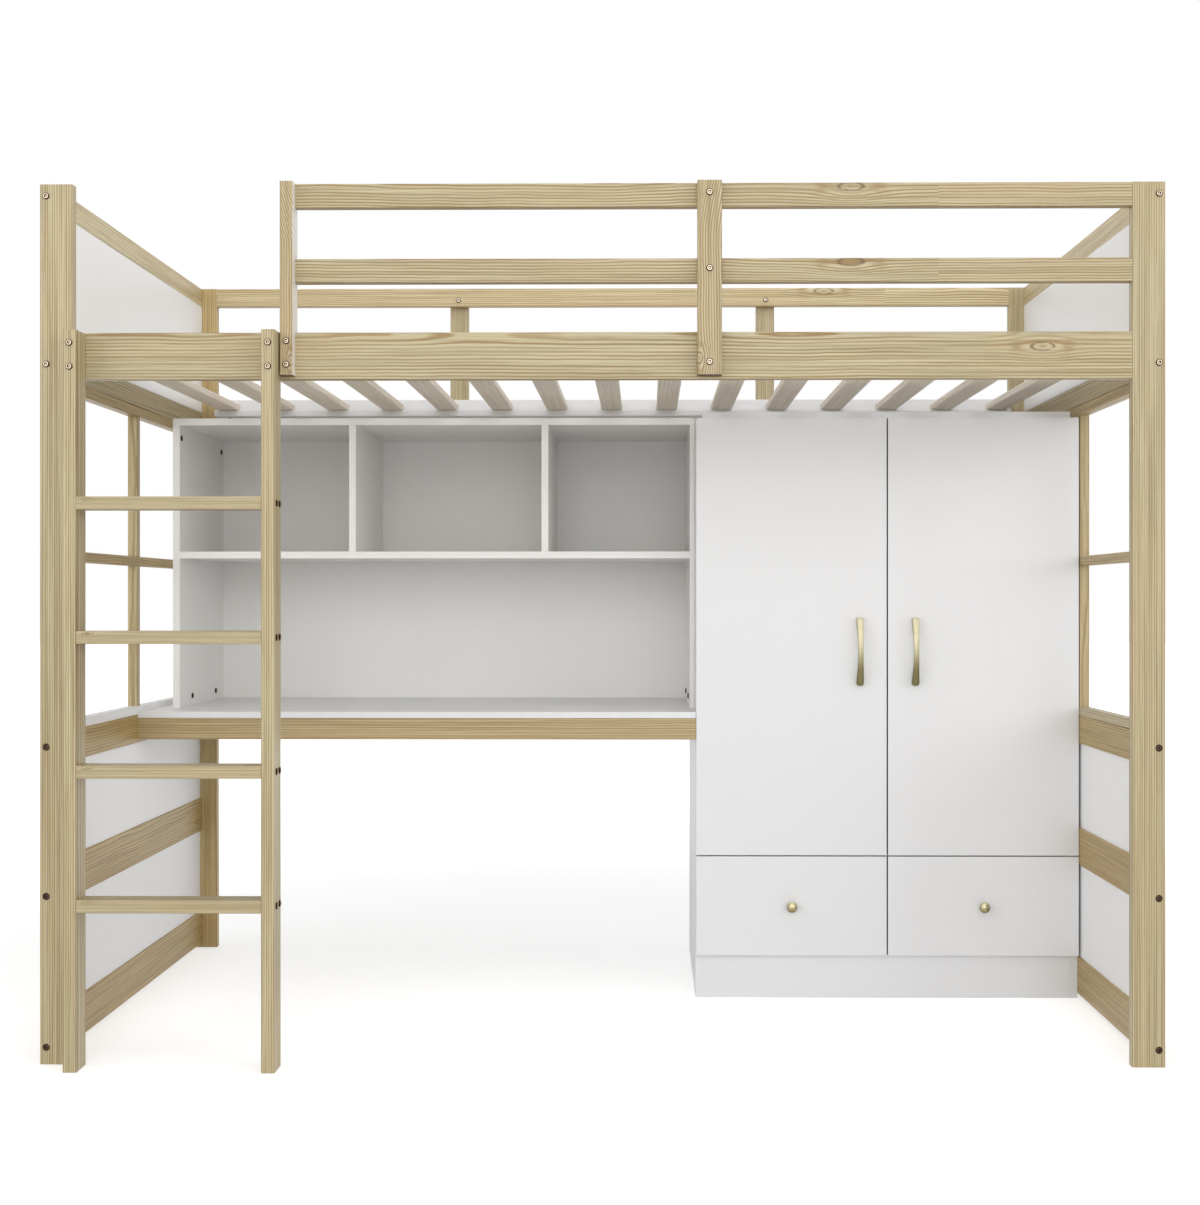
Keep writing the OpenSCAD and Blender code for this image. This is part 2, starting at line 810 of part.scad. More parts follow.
// Crossbar of a window, halved on its outer side for the upright, and the bar under the slat rail
module window_bars() {
    color(pine) placed() both_ends() {
        difference() {
            translate([bar_x, post_t, crossbar_z]) timber_y([bar_t, end_span, bar_h]);
            translate([bar_x - over, upright_y, crossbar_z - over])
                cube([bar_t / 2 + over, upright_w, bar_h + 2 * over]);
        }
        translate([0, post_t, window_top_z]) timber_y([end_rail_t, end_span, bar_h]);
    }
}

// Upright of a window, halved on its inner side for the crossbar
module window_uprights() {
    color(pine) placed() both_ends() difference() {
        translate([bar_x, upright_y, sill_top]) timber_z([bar_t, upright_w, window_top_z - sill_top]);
        translate([bar_x + bar_t / 2, upright_y - over, crossbar_z])
            cube([bar_t, upright_w + 2 * over, bar_h]);
    }
}

module window_sill() {
    translate([0, post_t, desk_rail_top]) timber_y([end_rail_t, end_span, sill_h]);
}

module window_sill_left() {
    color(white) placed() window_sill();
}

module window_sill_right() {
    color(pine) placed() to_right() window_sill();
}

// The three rails of each end frame from the floor to the desk
module end_low_rails() {
    color(pine) placed() both_ends() {
        end_rail(foot_gap, low_rail_h, sunk_bolt_z[0], [1]);
        end_rail(second_rail_z, low_rail_h, sunk_bolt_z[1], [-1, 1]);
        end_rail(desk_rail_z, desk_rail_h, sunk_bolt_z[2], [-1]);
    }
}

// Height of the middle of a rung
function rung_line(k) = first_rung_z + k * rung_pitch + rung_h / 2;

// Ladder stile, bored for the bolts that hold it to the bed and for two bolts to each rung
module stile(x) {
    difference() {
        translate([x, -stile_d, 0]) timber_z([stile_w, stile_d, stile_top]);
        for (z = stile_bolt_z) {
            translate([x + stile_w / 2, -stile_d, z]) along_y() hole(hole_r, stile_d + over);
        }
        for (k = [0:rung_count - 1], y = rung_bolt_y) {
            translate([x, y, rung_line(k)]) along_x() hole(hole_r, stile_w + over);
        }
    }
}

module ladder_stile_left() {
    color(pine) placed() stile(stile_x[0]);
}

module ladder_stile_right() {
    color(pine) placed() stile(stile_x[1]);
}

module ladder_rungs() {
    bolt_bite = rung_bolt_l - stile_w + bolt_gap;
    color(pine) placed() translate([stile_x[0] + stile_w, 0, 0]) for (k = [0:rung_count - 1]) {
        difference() {
            translate([0, rung_y, rung_line(k) - rung_h / 2]) timber_x([rung_l, rung_d, rung_h]);
            for (y = rung_bolt_y) {
                translate([0, y, rung_line(k)]) along_x() hole(hole_r, bolt_bite);
                translate([rung_l, y, rung_line(k)]) mirror([1, 0, 0]) along_x()
                    hole(hole_r, bolt_bite);
            }
        }
    }
}

module desk_top() {
    color(white) placed() translate([desk_x, desk_y, desk_z - desk_t]) cube([desk_l, desk_d, desk_t]);
}

// Front apron flush with the edge of the desk, and a second one at the back
module desk_aprons() {
    color(pine) placed() for (y = [desk_y, rear_post_y - apron_t]) {
        translate([desk_x, y, desk_z - desk_t - apron_h]) timber_x([desk_l, apron_t, apron_h]);
    }
}

// Holes through the boards at the left or right end of the shelf unit for its connecting bolts
module link_holes(x, depth, places) {
    for (place = places) {
        translate([x, hutch_y + place[0], place[1]]) along_x() hole(sleeve_r + bolt_gap, depth + over);
    }
}

module shelf_unit_sides() {
    side_h = hutch_roof_z - desk_z;
    color(white) placed() difference() {
        union() {
            translate([hutch_x, hutch_y, desk_z]) cube([hutch_t, hutch_d, side_h]);
            translate([hutch_in_right, hutch_y, desk_z]) cube([hutch_side_right_t, hutch_d, side_h]);
        }
        link_holes(hutch_x, hutch_t, concat(link_low, link_high));
        link_holes(hutch_in_right, hutch_side_right_t, link_low);
    }
}

module shelf_unit_top() {
    color(white) placed() translate([hutch_x, hutch_y, hutch_roof_z]) cube([hutch_w, hutch_d, hutch_t]);
}

module shelf_unit_shelf() {
    color(white) placed() translate([hutch_in_x, hutch_y, shelf_z]) cube([hutch_in_w, hutch_d, hutch_t]);
}

module shelf_unit_dividers() {
    color(white) placed() for (x = divider_x) {
        translate([x, hutch_y, shelf_top]) cube([hutch_t, hutch_d, hutch_roof_z - shelf_top]);
    }
}

module shelf_unit_back() {
    color(white) placed() translate([hutch_x, board_back_y, desk_z])
        cube([hutch_w, back_t, hutch_top - desk_z]);
}

// Places of the screws through the hinge plates, pointing into the left side board
module at_plate_screws(x) {
    for (z = hinge_z, dz = plate_screw_z) {
        translate([x, plate_screw_y, z + dz]) mirror([1, 0, 0]) along_x() children();
    }
}

// Side boards: the left one is bored for the shelf unit's bolts, both for the hinge screws
module wardrobe_sides() {
    side = [case_t, case_d, case_h];
    color(white) placed() difference() {
        union() {
            translate([wardrobe_x, wardrobe_y, 0]) cube(side);
            translate([wardrobe_right - case_t, wardrobe_y, 0]) cube(side);
        }
        link_holes(wardrobe_x, case_t, link_low);
        at_plate_screws(case_in_x) hole(screw_hole_r, plate_screw_l);
        to_right_half() at_plate_screws(case_in_x) hole(screw_hole_r, plate_screw_l);
    }
}

module wardrobe_top() {
    color(white) placed() translate([case_in_x, wardrobe_y, case_top_z])
        cube([case_in_w, case_d, case_top_t]);
}

// Board under the drawers, and board between the drawers and the doors
module wardrobe_decks() {
    color(white) placed() for (z = [plinth_h, deck_z]) {
        translate([case_in_x, wardrobe_y, z]) cube([case_in_w, case_d, case_t]);
    }
}

module wardrobe_drawer_divider() {
    color(white) placed() translate([middle_x - case_t / 2, wardrobe_y, case_floor_top])
        cube([case_t, case_d, deck_z - case_floor_top]);
}

module wardrobe_plinth() {
    color(white) placed() translate([case_in_x, wardrobe_y, 0]) cube([case_in_w, case_t, plinth_h]);
}

module wardrobe_back() {
    color(white) placed() translate([wardrobe_x, board_back_y, 0]) cube([wardrobe_w, back_t, case_h]);
}

// Tube between two round cups on the side boards
module clothes_rail() {
    tube_l = case_in_w - 2 * (socket_base + rail_fit);
    color(steel) placed() translate([case_in_x, rail_y, rail_z]) {
        translate([socket_base + rail_fit, 0, 0]) along_x() difference() {
            cylinder(r = rail_d / 2, h = tube_l);
            hole(rail_d / 2 - rail_wall, tube_l + over);
        }
        for (far = [0, 1]) {
            translate([far * case_in_w, 0, 0]) mirror([far, 0, 0]) along_x() difference() {
                cylinder(r = socket_r, h = socket_l);
                translate([0, 0, socket_base]) cylinder(r = rail_d / 2 + rail_fit, h = socket_l);
            }
        }
    }
}

// Left-hand door with a blind bore behind it for each hinge cup, and two holes for its handle
module door_panel() {
    difference() {
        translate([front_x, front_y, door_z]) cube([front_w, front_t, door_h]);
        for (z = hinge_z) {
            translate([cup_x, front_back_y, z]) mirror([0, 1, 0]) along_y()
                hole(cup_d / 2 + cup_fit, cup_depth);
        }
        for (side = [-1, 1]) {
            translate([handle_x, front_y, handle_z + side * handle_hole / 2]) along_y()
                hole(screw_hole_r, front_t + over);
        }
    }
}

module door_left() {
    color(white) placed() door_panel();
}

module door_right() {
    color(white) placed() to_right_half() door_panel();
}

// Pressed cups of the concealed hinges, each with the link that meets the nose of its arm
module hinge_cups() {
    link_h = arm_w - 2 * sheet_t - 2 * link_gap;
    for (z = hinge_z) {
        translate([cup_x, front_back_y - cup_depth, z]) along_y() difference() {
            cylinder(r = cup_d / 2, h = cup_depth);
            translate([0, 0, sheet_t]) cylinder(r = cup_d / 2 - sheet_t, h = cup_depth);
        }
        translate([case_in_x + plate_t + link_gap, front_back_y - cup_depth, z - link_h / 2])
            cube([arm_d - link_gap, cup_depth, link_h]);
    }
}

module hinge_cups_left() {
    color(steel) placed() hinge_cups();
}

module hinge_cups_right() {
    color(steel) placed() to_right_half() hinge_cups();
}

// Mounting plate on the side board, and the channel-shaped arm that ends just behind the cup
module hinge_arm() {
    arm_l = plate_y + plate_l - arm_y;
    translate([case_in_x, plate_y, -plate_w / 2]) difference() {
        cube([plate_t, plate_l, plate_w]);
        for (dz = plate_screw_z) {
            translate([0, plate_l / 2, plate_w / 2 + dz]) along_x() hole(screw_hole_r, plate_t + over);
        }
    }
    translate([case_in_x + plate_t, arm_y, -arm_w / 2]) difference() {
        cube([arm_d, arm_l, arm_w]);
        translate([-over, -over, sheet_t])
            cube([arm_d - sheet_t + over, arm_l + 2 * over, arm_w - 2 * sheet_t]);
    }
}

module hinge_arms() {
    color(steel) placed() for (z = hinge_z) {
        translate([0, 0, z]) hinge_arm();
        to_right_half() translate([0, 0, z]) hinge_arm();
    }
}

// Side view of a handle: a bow that swells into a foot at each end, out from the door along -X
module handle_bow() {
    rise = handle_reach * 0.4;
    outer_r = (pow(handle_l / 2, 2) + pow(rise, 2)) / (2 * rise);
    hollow = handle_reach - strap_t;
    hollow_l = handle_l / 2 - handle_foot;
    hollow_r = (pow(hollow_l, 2) + pow(hollow, 2)) / (2 * hollow);
    difference() {
        intersection() {
            translate([-handle_reach, -handle_l / 2]) square([handle_reach, handle_l]);
            translate([outer_r - handle_reach, 0]) circle(outer_r, $fn = 200);
        }
        translate([hollow_r - hollow, 0]) circle(hollow_r, $fn = 100);
    }
}

// What is cut from one side of a handle so that it narrows towards its middle
module handle_waist() {
    waist = (handle_end_w - handle_mid_w) / 2;
    steps = 6;
    arch = [for (k = [-steps:steps]) [handle_mid_w / 2 + waist * pow(k / (steps - 1), 2),
        handle_l / 2 * k / (steps - 1)]];
    polygon(concat(arch, [[handle_end_w, handle_l], [handle_end_w, -handle_l]]));
}

// Handle of the left door, with its two screws from inside the door
module handle() {
    blank_w = handle_end_w + 2 * over;
    screw_z = [-handle_hole / 2, handle_hole / 2];
    translate([handle_x, front_y, handle_z]) {
        difference() {
            translate([-blank_w / 2, 0, 0]) rotate([90, 0, 90]) linear_extrude(blank_w) handle_bow();
            for (side = [0, 1]) {
                mirror([side, 0, 0]) translate([0, over, 0]) rotate([90, 0, 0])
                    linear_extrude(handle_reach + 2 * over) handle_waist();
            }
            for (z = screw_z) {
                translate([0, 0, z]) mirror([0, 1, 0]) along_y()
                    hole(screw_hole_r, handle_screw_bite + screw_gap);
            }
        }
        for (z = screw_z) {
            translate([0, front_t, z]) mirror([0, 1, 0]) along_y() screw(pull_screw_l);
        }
    }
}

module door_handle_left() {
    color(gold) placed() handle();
}

module door_handle_right() {
    color(gold) placed() to_right_half() handle();
}

module drawer_front() {
    difference() {
        translate([front_x, front_y, drawer_front_z]) cube([front_w, front_t, drawer_front_h]);
        translate([knob_x, front_y, knob_z]) along_y() hole(screw_hole_r, front_t + over);
    }
}

module drawer_front_left() {
    color(white) placed() drawer_front();
}

module drawer_front_right() {
    color(white) placed() to_right_half() drawer_front();
}

// Two sides, a back, and a thin bottom that sits in a groove in all three
module drawer_box() {
    tray_w = box_in_w + 2 * tray_groove;
    tray_l = box_depth - box_t + tray_groove;
    groove_h = tray_t + 2 * tray_fit;
    translate([box_x, front_back_y, box_z]) {
        difference() {
            union() {
                cube([box_t, box_depth, box_h]);
                translate([box_w - box_t, 0, 0]) cube([box_t, box_depth, box_h]);
            }
            translate([box_t - tray_groove - tray_fit, -over, tray_rise - tray_fit])
                cube([tray_w + 2 * tray_fit, box_depth + 2 * over, groove_h]);
        }
        difference() {
            translate([box_t + tray_fit, box_depth - box_t, 0]) cube([box_in_w - 2 * tray_fit, box_t, box_h]);
            translate([0, box_depth - box_t - over, tray_rise - tray_fit])
                cube([box_w, tray_groove + over + tray_fit, groove_h]);
        }
        translate([box_t - tray_groove, 0, tray_rise]) cube([tray_w, tray_l, tray_t]);
    }
}

module drawer_box_left() {
    color(white) placed() drawer_box();
}

module drawer_box_right() {
    color(white) placed() to_right_half() drawer_box();
}

// Turned knob, with a foot, a narrow neck and a round head, and its screw from inside the drawer
module knob() {
    head_l = knob_reach * 0.55;
    head_line = knob_reach - head_l / 2;
    neck_r = knob_d * 0.22;
    foot_r = knob_d * 0.3;
    foot_l = 2;
    profile = concat(
        [[0, 0], [foot_r, 0], [foot_r, foot_l], [neck_r, foot_l + 2], [neck_r, knob_reach - head_l]],
        [for (turn = [-40:8:80]) [knob_d / 2 * cos(turn), head_line + head_l / 2 * sin(turn)]],
        [[0, knob_reach]]
    );
    translate([knob_x, front_y, knob_z]) {
        mirror([0, 1, 0]) along_y() difference() {
            rotate_extrude() polygon(profile);
            hole(screw_hole_r, handle_screw_bite + screw_gap);
        }
        translate([0, front_t, 0]) mirror([0, 1, 0]) along_y() screw(pull_screw_l);
    }
}

module drawer_knob_left() {
    color(gold) placed() knob();
}

module drawer_knob_right() {
    color(gold) placed() to_right_half() knob();
}

// Section of a fixed channel: its web on the case, its lips turned in over the moving rail
module channel_section() {
    difference() {
        square([channel_d, slide_h]);
        translate([sheet_t, sheet_t]) square([channel_d - 2 * sheet_t, slide_h - 2 * sheet_t]);
        translate([sheet_t, lip]) square([channel_d, slide_h - 2 * lip]);
    }
}

// Section of the moving rail: a wide foot behind the lips and a neck out to the drawer side
module rail_section() {
    inner = sheet_t + slide_gap;
    neck = lip + slide_gap;
    translate([inner, inner]) square([channel_d - 2 * inner, slide_h - 2 * inner]);
    translate([inner, neck]) square([slide_space - inner, slide_h - 2 * neck]);
}

// A slide section along both sides of the left-hand drawer
module slide_pair() {
    translate([case_in_x, slide_y + slide_l, slide_z]) for (far = [0, 1]) {
        translate([far * slot_w, 0, 0]) mirror([far, 0, 0]) rotate([90, 0, 0])
            linear_extrude(slide_l) children();
    }
}

module slide_channels() {
    color(steel) placed() {
        slide_pair() channel_section();
        to_right_half() slide_pair() channel_section();
    }
}

module slide_rails_left() {
    color(steel) placed() slide_pair() rail_section();
}

module slide_rails_right() {
    color(steel) placed() to_right_half() slide_pair() rail_section();
}

// Copper bolts whose heads stand on the face of the timber or board
module frame_bolts() {
    color(copper) placed() {
        both_ends() for (z = plain_bolt_z) {
            translate([end_line, 0, z]) along_y() bolt(nut_bolt_l(post_t));
            to_rear() translate([end_line, 0, z]) along_y() bolt(nut_bolt_l(post_t));
        }
        for (x = stile_line, z = stile_bolt_z) {
            translate([x, -stile_d, z]) along_y() bolt(insert_bolt_l(stile_d));
        }
        for (k = [0:rung_count - 1], y = rung_bolt_y) {
            translate([stile_x[0], y, rung_line(k)]) along_x() bolt(rung_bolt_l);
            translate([stile_x[1] + stile_w, y, rung_line(k)]) mirror([1, 0, 0]) along_x()
                bolt(rung_bolt_l);
        }
        for (z = guard_post_bolt_z) {
            translate([guard_post_line, -guard_t, z]) along_y() bolt(insert_bolt_l(guard_t));
        }
        for (z = concat([guard_foot_z], guard_line_z)) {
            translate([front_board_x, -guard_t, z]) along_y() bolt(insert_bolt_l(guard_t));
        }
        for (z = guard_line_z) {
            translate([guard_post_x, rail_line, z]) along_x() bolt(nut_bolt_l(guard_post_w));
        }
        for (x = rear_boards, z = [guard_foot_z, rear_bolt_z]) {
            translate([x, rear_post_y, z]) along_y() bolt(insert_bolt_l(guard_t));
        }
        for (place = concat(link_low, link_high)) {
            translate([hutch_in_x, hutch_y + place[0], place[1]]) mirror([1, 0, 0]) along_x()
                bolt(hutch_t - over);
        }
        for (place = link_low) {
            translate([hutch_in_right, hutch_y + place[0], place[1]]) along_x()
                bolt(hutch_side_right_t + case_t - over);
        }
    }
}

// Sunk bolts of one corner: into the end rails below the desk, and into the rails along the bed
module corner_bolts(guard_bolts) {
    for (z = sunk_bolt_z) {
        translate([end_line, sunk_depth, z]) along_y() bolt(nut_bolt_l(post_t) - sunk_depth);
    }
    for (z = concat(side_bolt_z, guard_bolts)) {
        translate([sunk_depth, rail_line, z]) along_x() bolt(nut_bolt_l(post_w) - sunk_depth);
    }
}

module sunk_bolts() {
    color(dark_steel) placed() {
        corner_bolts([]);
        to_right() corner_bolts([guard_line_z[0], corner_bolt_z]);
        to_rear() corner_bolts([corner_bolt_z]);
        to_right() to_rear() corner_bolts([corner_bolt_z]);
    }
}

// Cross nut in a rail along X, its slot towards the inner face
module rail_nut(x, z) {
    translate([x, rail_line + nut_l / 2, z]) mirror([0, 1, 0]) along_y() cross_nut();
}

// Cross nuts of one corner
module corner_nuts(guard_bolts) {
    for (z = concat(plain_bolt_z, sunk_bolt_z)) {
        translate([end_line - nut_l / 2, post_t + nut_reach, z]) rotate([90, 0, 0]) along_x() cross_nut();
    }
    for (z = concat(side_bolt_z, guard_bolts)) {
        rail_nut(post_w + nut_reach, z);
    }
}

// Everything that the bolts hold in: cross nuts, inserts and the sleeves of the connecting bolts
module bolt_nuts() {
    color(dark_steel) placed() {
        corner_nuts([]);
        to_right() corner_nuts([guard_line_z[0], corner_bolt_z]);
        both_ends() to_rear() corner_nuts([]);
        both_ends() translate([0, rear_post_y, 0]) rail_nut(post_w + nut_reach, corner_bolt_z);
        for (z = guard_line_z) {
            rail_nut(guard_x + nut_reach, z);
        }
        for (x = stile_line, z = stile_bolt_z) {
            translate([x, 0, z]) along_y() insert_nut();
        }
        for (z = guard_post_bolt_z) {
            translate([guard_post_line, 0, z]) along_y() insert_nut();
        }
        for (z = concat([guard_foot_z], guard_line_z)) {
            translate([front_board_x, 0, z]) along_y() insert_nut();
        }
        for (x = rear_boards, z = [guard_foot_z, rear_bolt_z]) {
            translate([x, bed_depth, z]) along_y() insert_nut();
        }
        for (place = concat(link_low, link_high)) {
            translate([hutch_x, hutch_y + place[0], place[1]]) along_x() sleeve(hutch_t - over);
        }
        for (place = link_low) {
            translate([case_in_x, hutch_y + place[0], place[1]]) mirror([1, 0, 0]) along_x()
                sleeve(hutch_side_right_t + case_t - over);
        }
    }
}

// Screws through the hinge plates into the side boards
module screws() {
    color(dark_steel) placed() {
        at_plate_screws(case_in_x + plate_t) screw(plate_screw_l);
        to_right_half() at_plate_screws(case_in_x + plate_t) screw(plate_screw_l);
    }
}

post_front_left();
post_front_right();
post_rear_left();
post_rear_right();
side_rail_front();
side_rail_rear();
slat_ledges();
slats();
guard_rail_top();
guard_rail_middle();
guard_post();
guard_board_front();
guard_rail_rear();
guard_boards_rear();
end_top_rails();
end_high_panels();
end_slat_rails();
window_bars();
window_uprights();
window_sill_left();
window_sill_right();
end_low_rails();
end_low_panels();
ladder_stile_left();
ladder_stile_right();
ladder_rungs();
desk_top();
desk_aprons();
shelf_unit_sides();
shelf_unit_top();
shelf_unit_shelf();
shelf_unit_dividers();
shelf_unit_back();
wardrobe_sides();
wardrobe_top();
wardrobe_decks();
wardrobe_drawer_divider();
wardrobe_plinth();
wardrobe_back();
clothes_rail();
door_left();
door_right();
door_handle_left();
door_handle_right();
hinge_cups_left();
hinge_cups_right();
hinge_arms();
drawer_front_left();
drawer_front_right();
drawer_box_left();
drawer_box_right();
drawer_knob_left();
drawer_knob_right();
slide_channels();
slide_rails_left();
slide_rails_right();
frame_bolts();
sunk_bolts();
bolt_nuts();
screws();
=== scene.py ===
"""Dresses the loft bed: pine frame, white boards, gilt handles, lamps and camera."""

from __future__ import annotations

import logging
import math
from dataclasses import dataclass, replace
from enum import Enum
from typing import Iterable

import bmesh
import bpy
from mathutils import Matrix, Vector


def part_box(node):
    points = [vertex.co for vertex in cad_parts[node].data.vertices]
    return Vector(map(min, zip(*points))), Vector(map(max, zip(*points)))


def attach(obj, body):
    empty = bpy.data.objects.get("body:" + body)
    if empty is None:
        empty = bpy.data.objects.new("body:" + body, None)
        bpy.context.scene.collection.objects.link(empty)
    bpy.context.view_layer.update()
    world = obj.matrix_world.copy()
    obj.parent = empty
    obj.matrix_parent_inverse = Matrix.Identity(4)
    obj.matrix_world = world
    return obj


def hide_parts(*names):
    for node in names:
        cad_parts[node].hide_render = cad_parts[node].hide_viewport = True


Colour = tuple[float, float, float]
Point = tuple[float, float, float]

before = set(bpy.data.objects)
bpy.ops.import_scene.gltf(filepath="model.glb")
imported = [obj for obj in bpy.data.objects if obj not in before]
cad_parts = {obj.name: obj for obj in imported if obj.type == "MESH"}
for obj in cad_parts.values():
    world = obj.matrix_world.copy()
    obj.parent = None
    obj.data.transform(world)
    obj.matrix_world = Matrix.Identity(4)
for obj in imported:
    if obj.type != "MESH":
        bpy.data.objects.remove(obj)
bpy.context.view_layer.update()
log = logging.getLogger("loft_bed")

# Corners nearer than this, in metres, are one corner: on a made or rounded piece, and on a CAD piece
SAME_PLACE = 0.00001
SAME_CORNER = 0.000002
# Faces that turn less than this lie in one plane, and an edge that turns more than this is sharp
FLAT_WITHIN = math.radians(1)
SHARP_FROM = math.radians(50)
# Steps in the rounding of an edge
EDGE_STEPS = 2


def tone(red: float, green: float, blue: float) -> Colour:
    """A colour written as it looks on a screen, turned into light.

    Args:
        red: Red from 0 to 255.
        green: Green from 0 to 255.
        blue: Blue from 0 to 255.

    Returns:
        The three linear values.
    """

    def light(value: float) -> float:
        """One channel of it."""
        share = value / 255
        return share / 12.92 if share <= 0.04045 else ((share + 0.055) / 1.055) ** 2.4

    return (light(red), light(green), light(blue))


class Axis(Enum):
    """One of the three directions of the frame."""

    X = 0
    Y = 1
    Z = 2


class Link:
    """A value that runs through a material."""

    def __init__(self, bench: "Bench", socket: bpy.types.NodeSocket) -> None:
        """Keeps the bench that it belongs to and the socket that gives it."""
        self.bench = bench
        self.socket = socket


class Wire(Link):
    """A number that runs through a material; sums written with it add Math nodes."""

    def _sum(self, operation: str, *values: "Wire | float") -> "Wire":
        """Adds one Math node.

        Args:
            operation: The name of the sum.
            values: What it works on.

        Returns:
            Its result.
        """
        return self.bench.pick("ShaderNodeMath", {"operation": operation}, dict(enumerate(values)))

    def __add__(self, other: "Wire | float") -> "Wire":
        """This plus other."""
        return self._sum("ADD", self, other)

    def __radd__(self, other: float) -> "Wire":
        """Other plus this."""
        return self._sum("ADD", other, self)

    def __sub__(self, other: "Wire | float") -> "Wire":
        """This less other."""
        return self._sum("SUBTRACT", self, other)

    def __rsub__(self, other: float) -> "Wire":
        """Other less this."""
        return self._sum("SUBTRACT", other, self)

    def __mul__(self, other: "Wire | float") -> "Wire":
        """This times other."""
        return self._sum("MULTIPLY", self, other)

    def __truediv__(self, other: "Wire | float") -> "Wire":
        """This over other."""
        return self._sum("DIVIDE", self, other)

    def __neg__(self) -> "Wire":
        """This, turned about zero."""
        return self._sum("MULTIPLY", self, -1.0)

    def __abs__(self) -> "Wire":
        """This without its sign."""
        return self._sum("ABSOLUTE", self)

    def __gt__(self, other: "Wire | float") -> "Wire":
        """1 where this is more than other, else 0."""
        return self._sum("GREATER_THAN", self, other)

    def floor(self) -> "Wire":
        """The whole number below this."""
        return self._sum("FLOOR", self)

    def rest(self) -> "Wire":
        """What is left of this above the whole number below it."""
        return self._sum("FRACT", self)

    def root(self) -> "Wire":
        """The square root of this."""
        return self._sum("SQRT", self)

    def bell(self) -> "Wire":
        """1 where this is 0, falling off on both sides."""
        return self._sum("EXPONENT", -(self * self))

    def least(self, other: "Wire | float") -> "Wire":
        """The smaller of the two."""
        return self._sum("MINIMUM", self, other)

    def most(self, other: "Wire | float") -> "Wire":
        """The larger of the two."""
        return self._sum("MAXIMUM", self, other)

    def step(self, low: float, high: float) -> "Wire":
        """A soft step from 0 at low to 1 at high.

        Args:
            low: Where the step starts.
            high: Where it ends.

        Returns:
            The stepped value.
        """
        settings = {"interpolation_type": "SMOOTHSTEP"}
        sockets = {"Value": self, "From Min": low, "From Max": high}
        return self.bench.pick("ShaderNodeMapRange", settings, sockets)


Place = tuple[Wire, Wire, Wire | float]


class Tint(Link):
    """A colour that runs through a material."""

    def over(self, share: Wire | float, other: "Tint | Colour", how: str = "MIX") -> "Tint":
        """This with another colour laid over it.

        Args:
            share: How much of the other shows, from 0 to 1.
            other: The colour that is laid over.
            how: The way in which they blend.

        Returns:
            The blended colour.
        """
        return self.bench.blend(share, self, other, how)


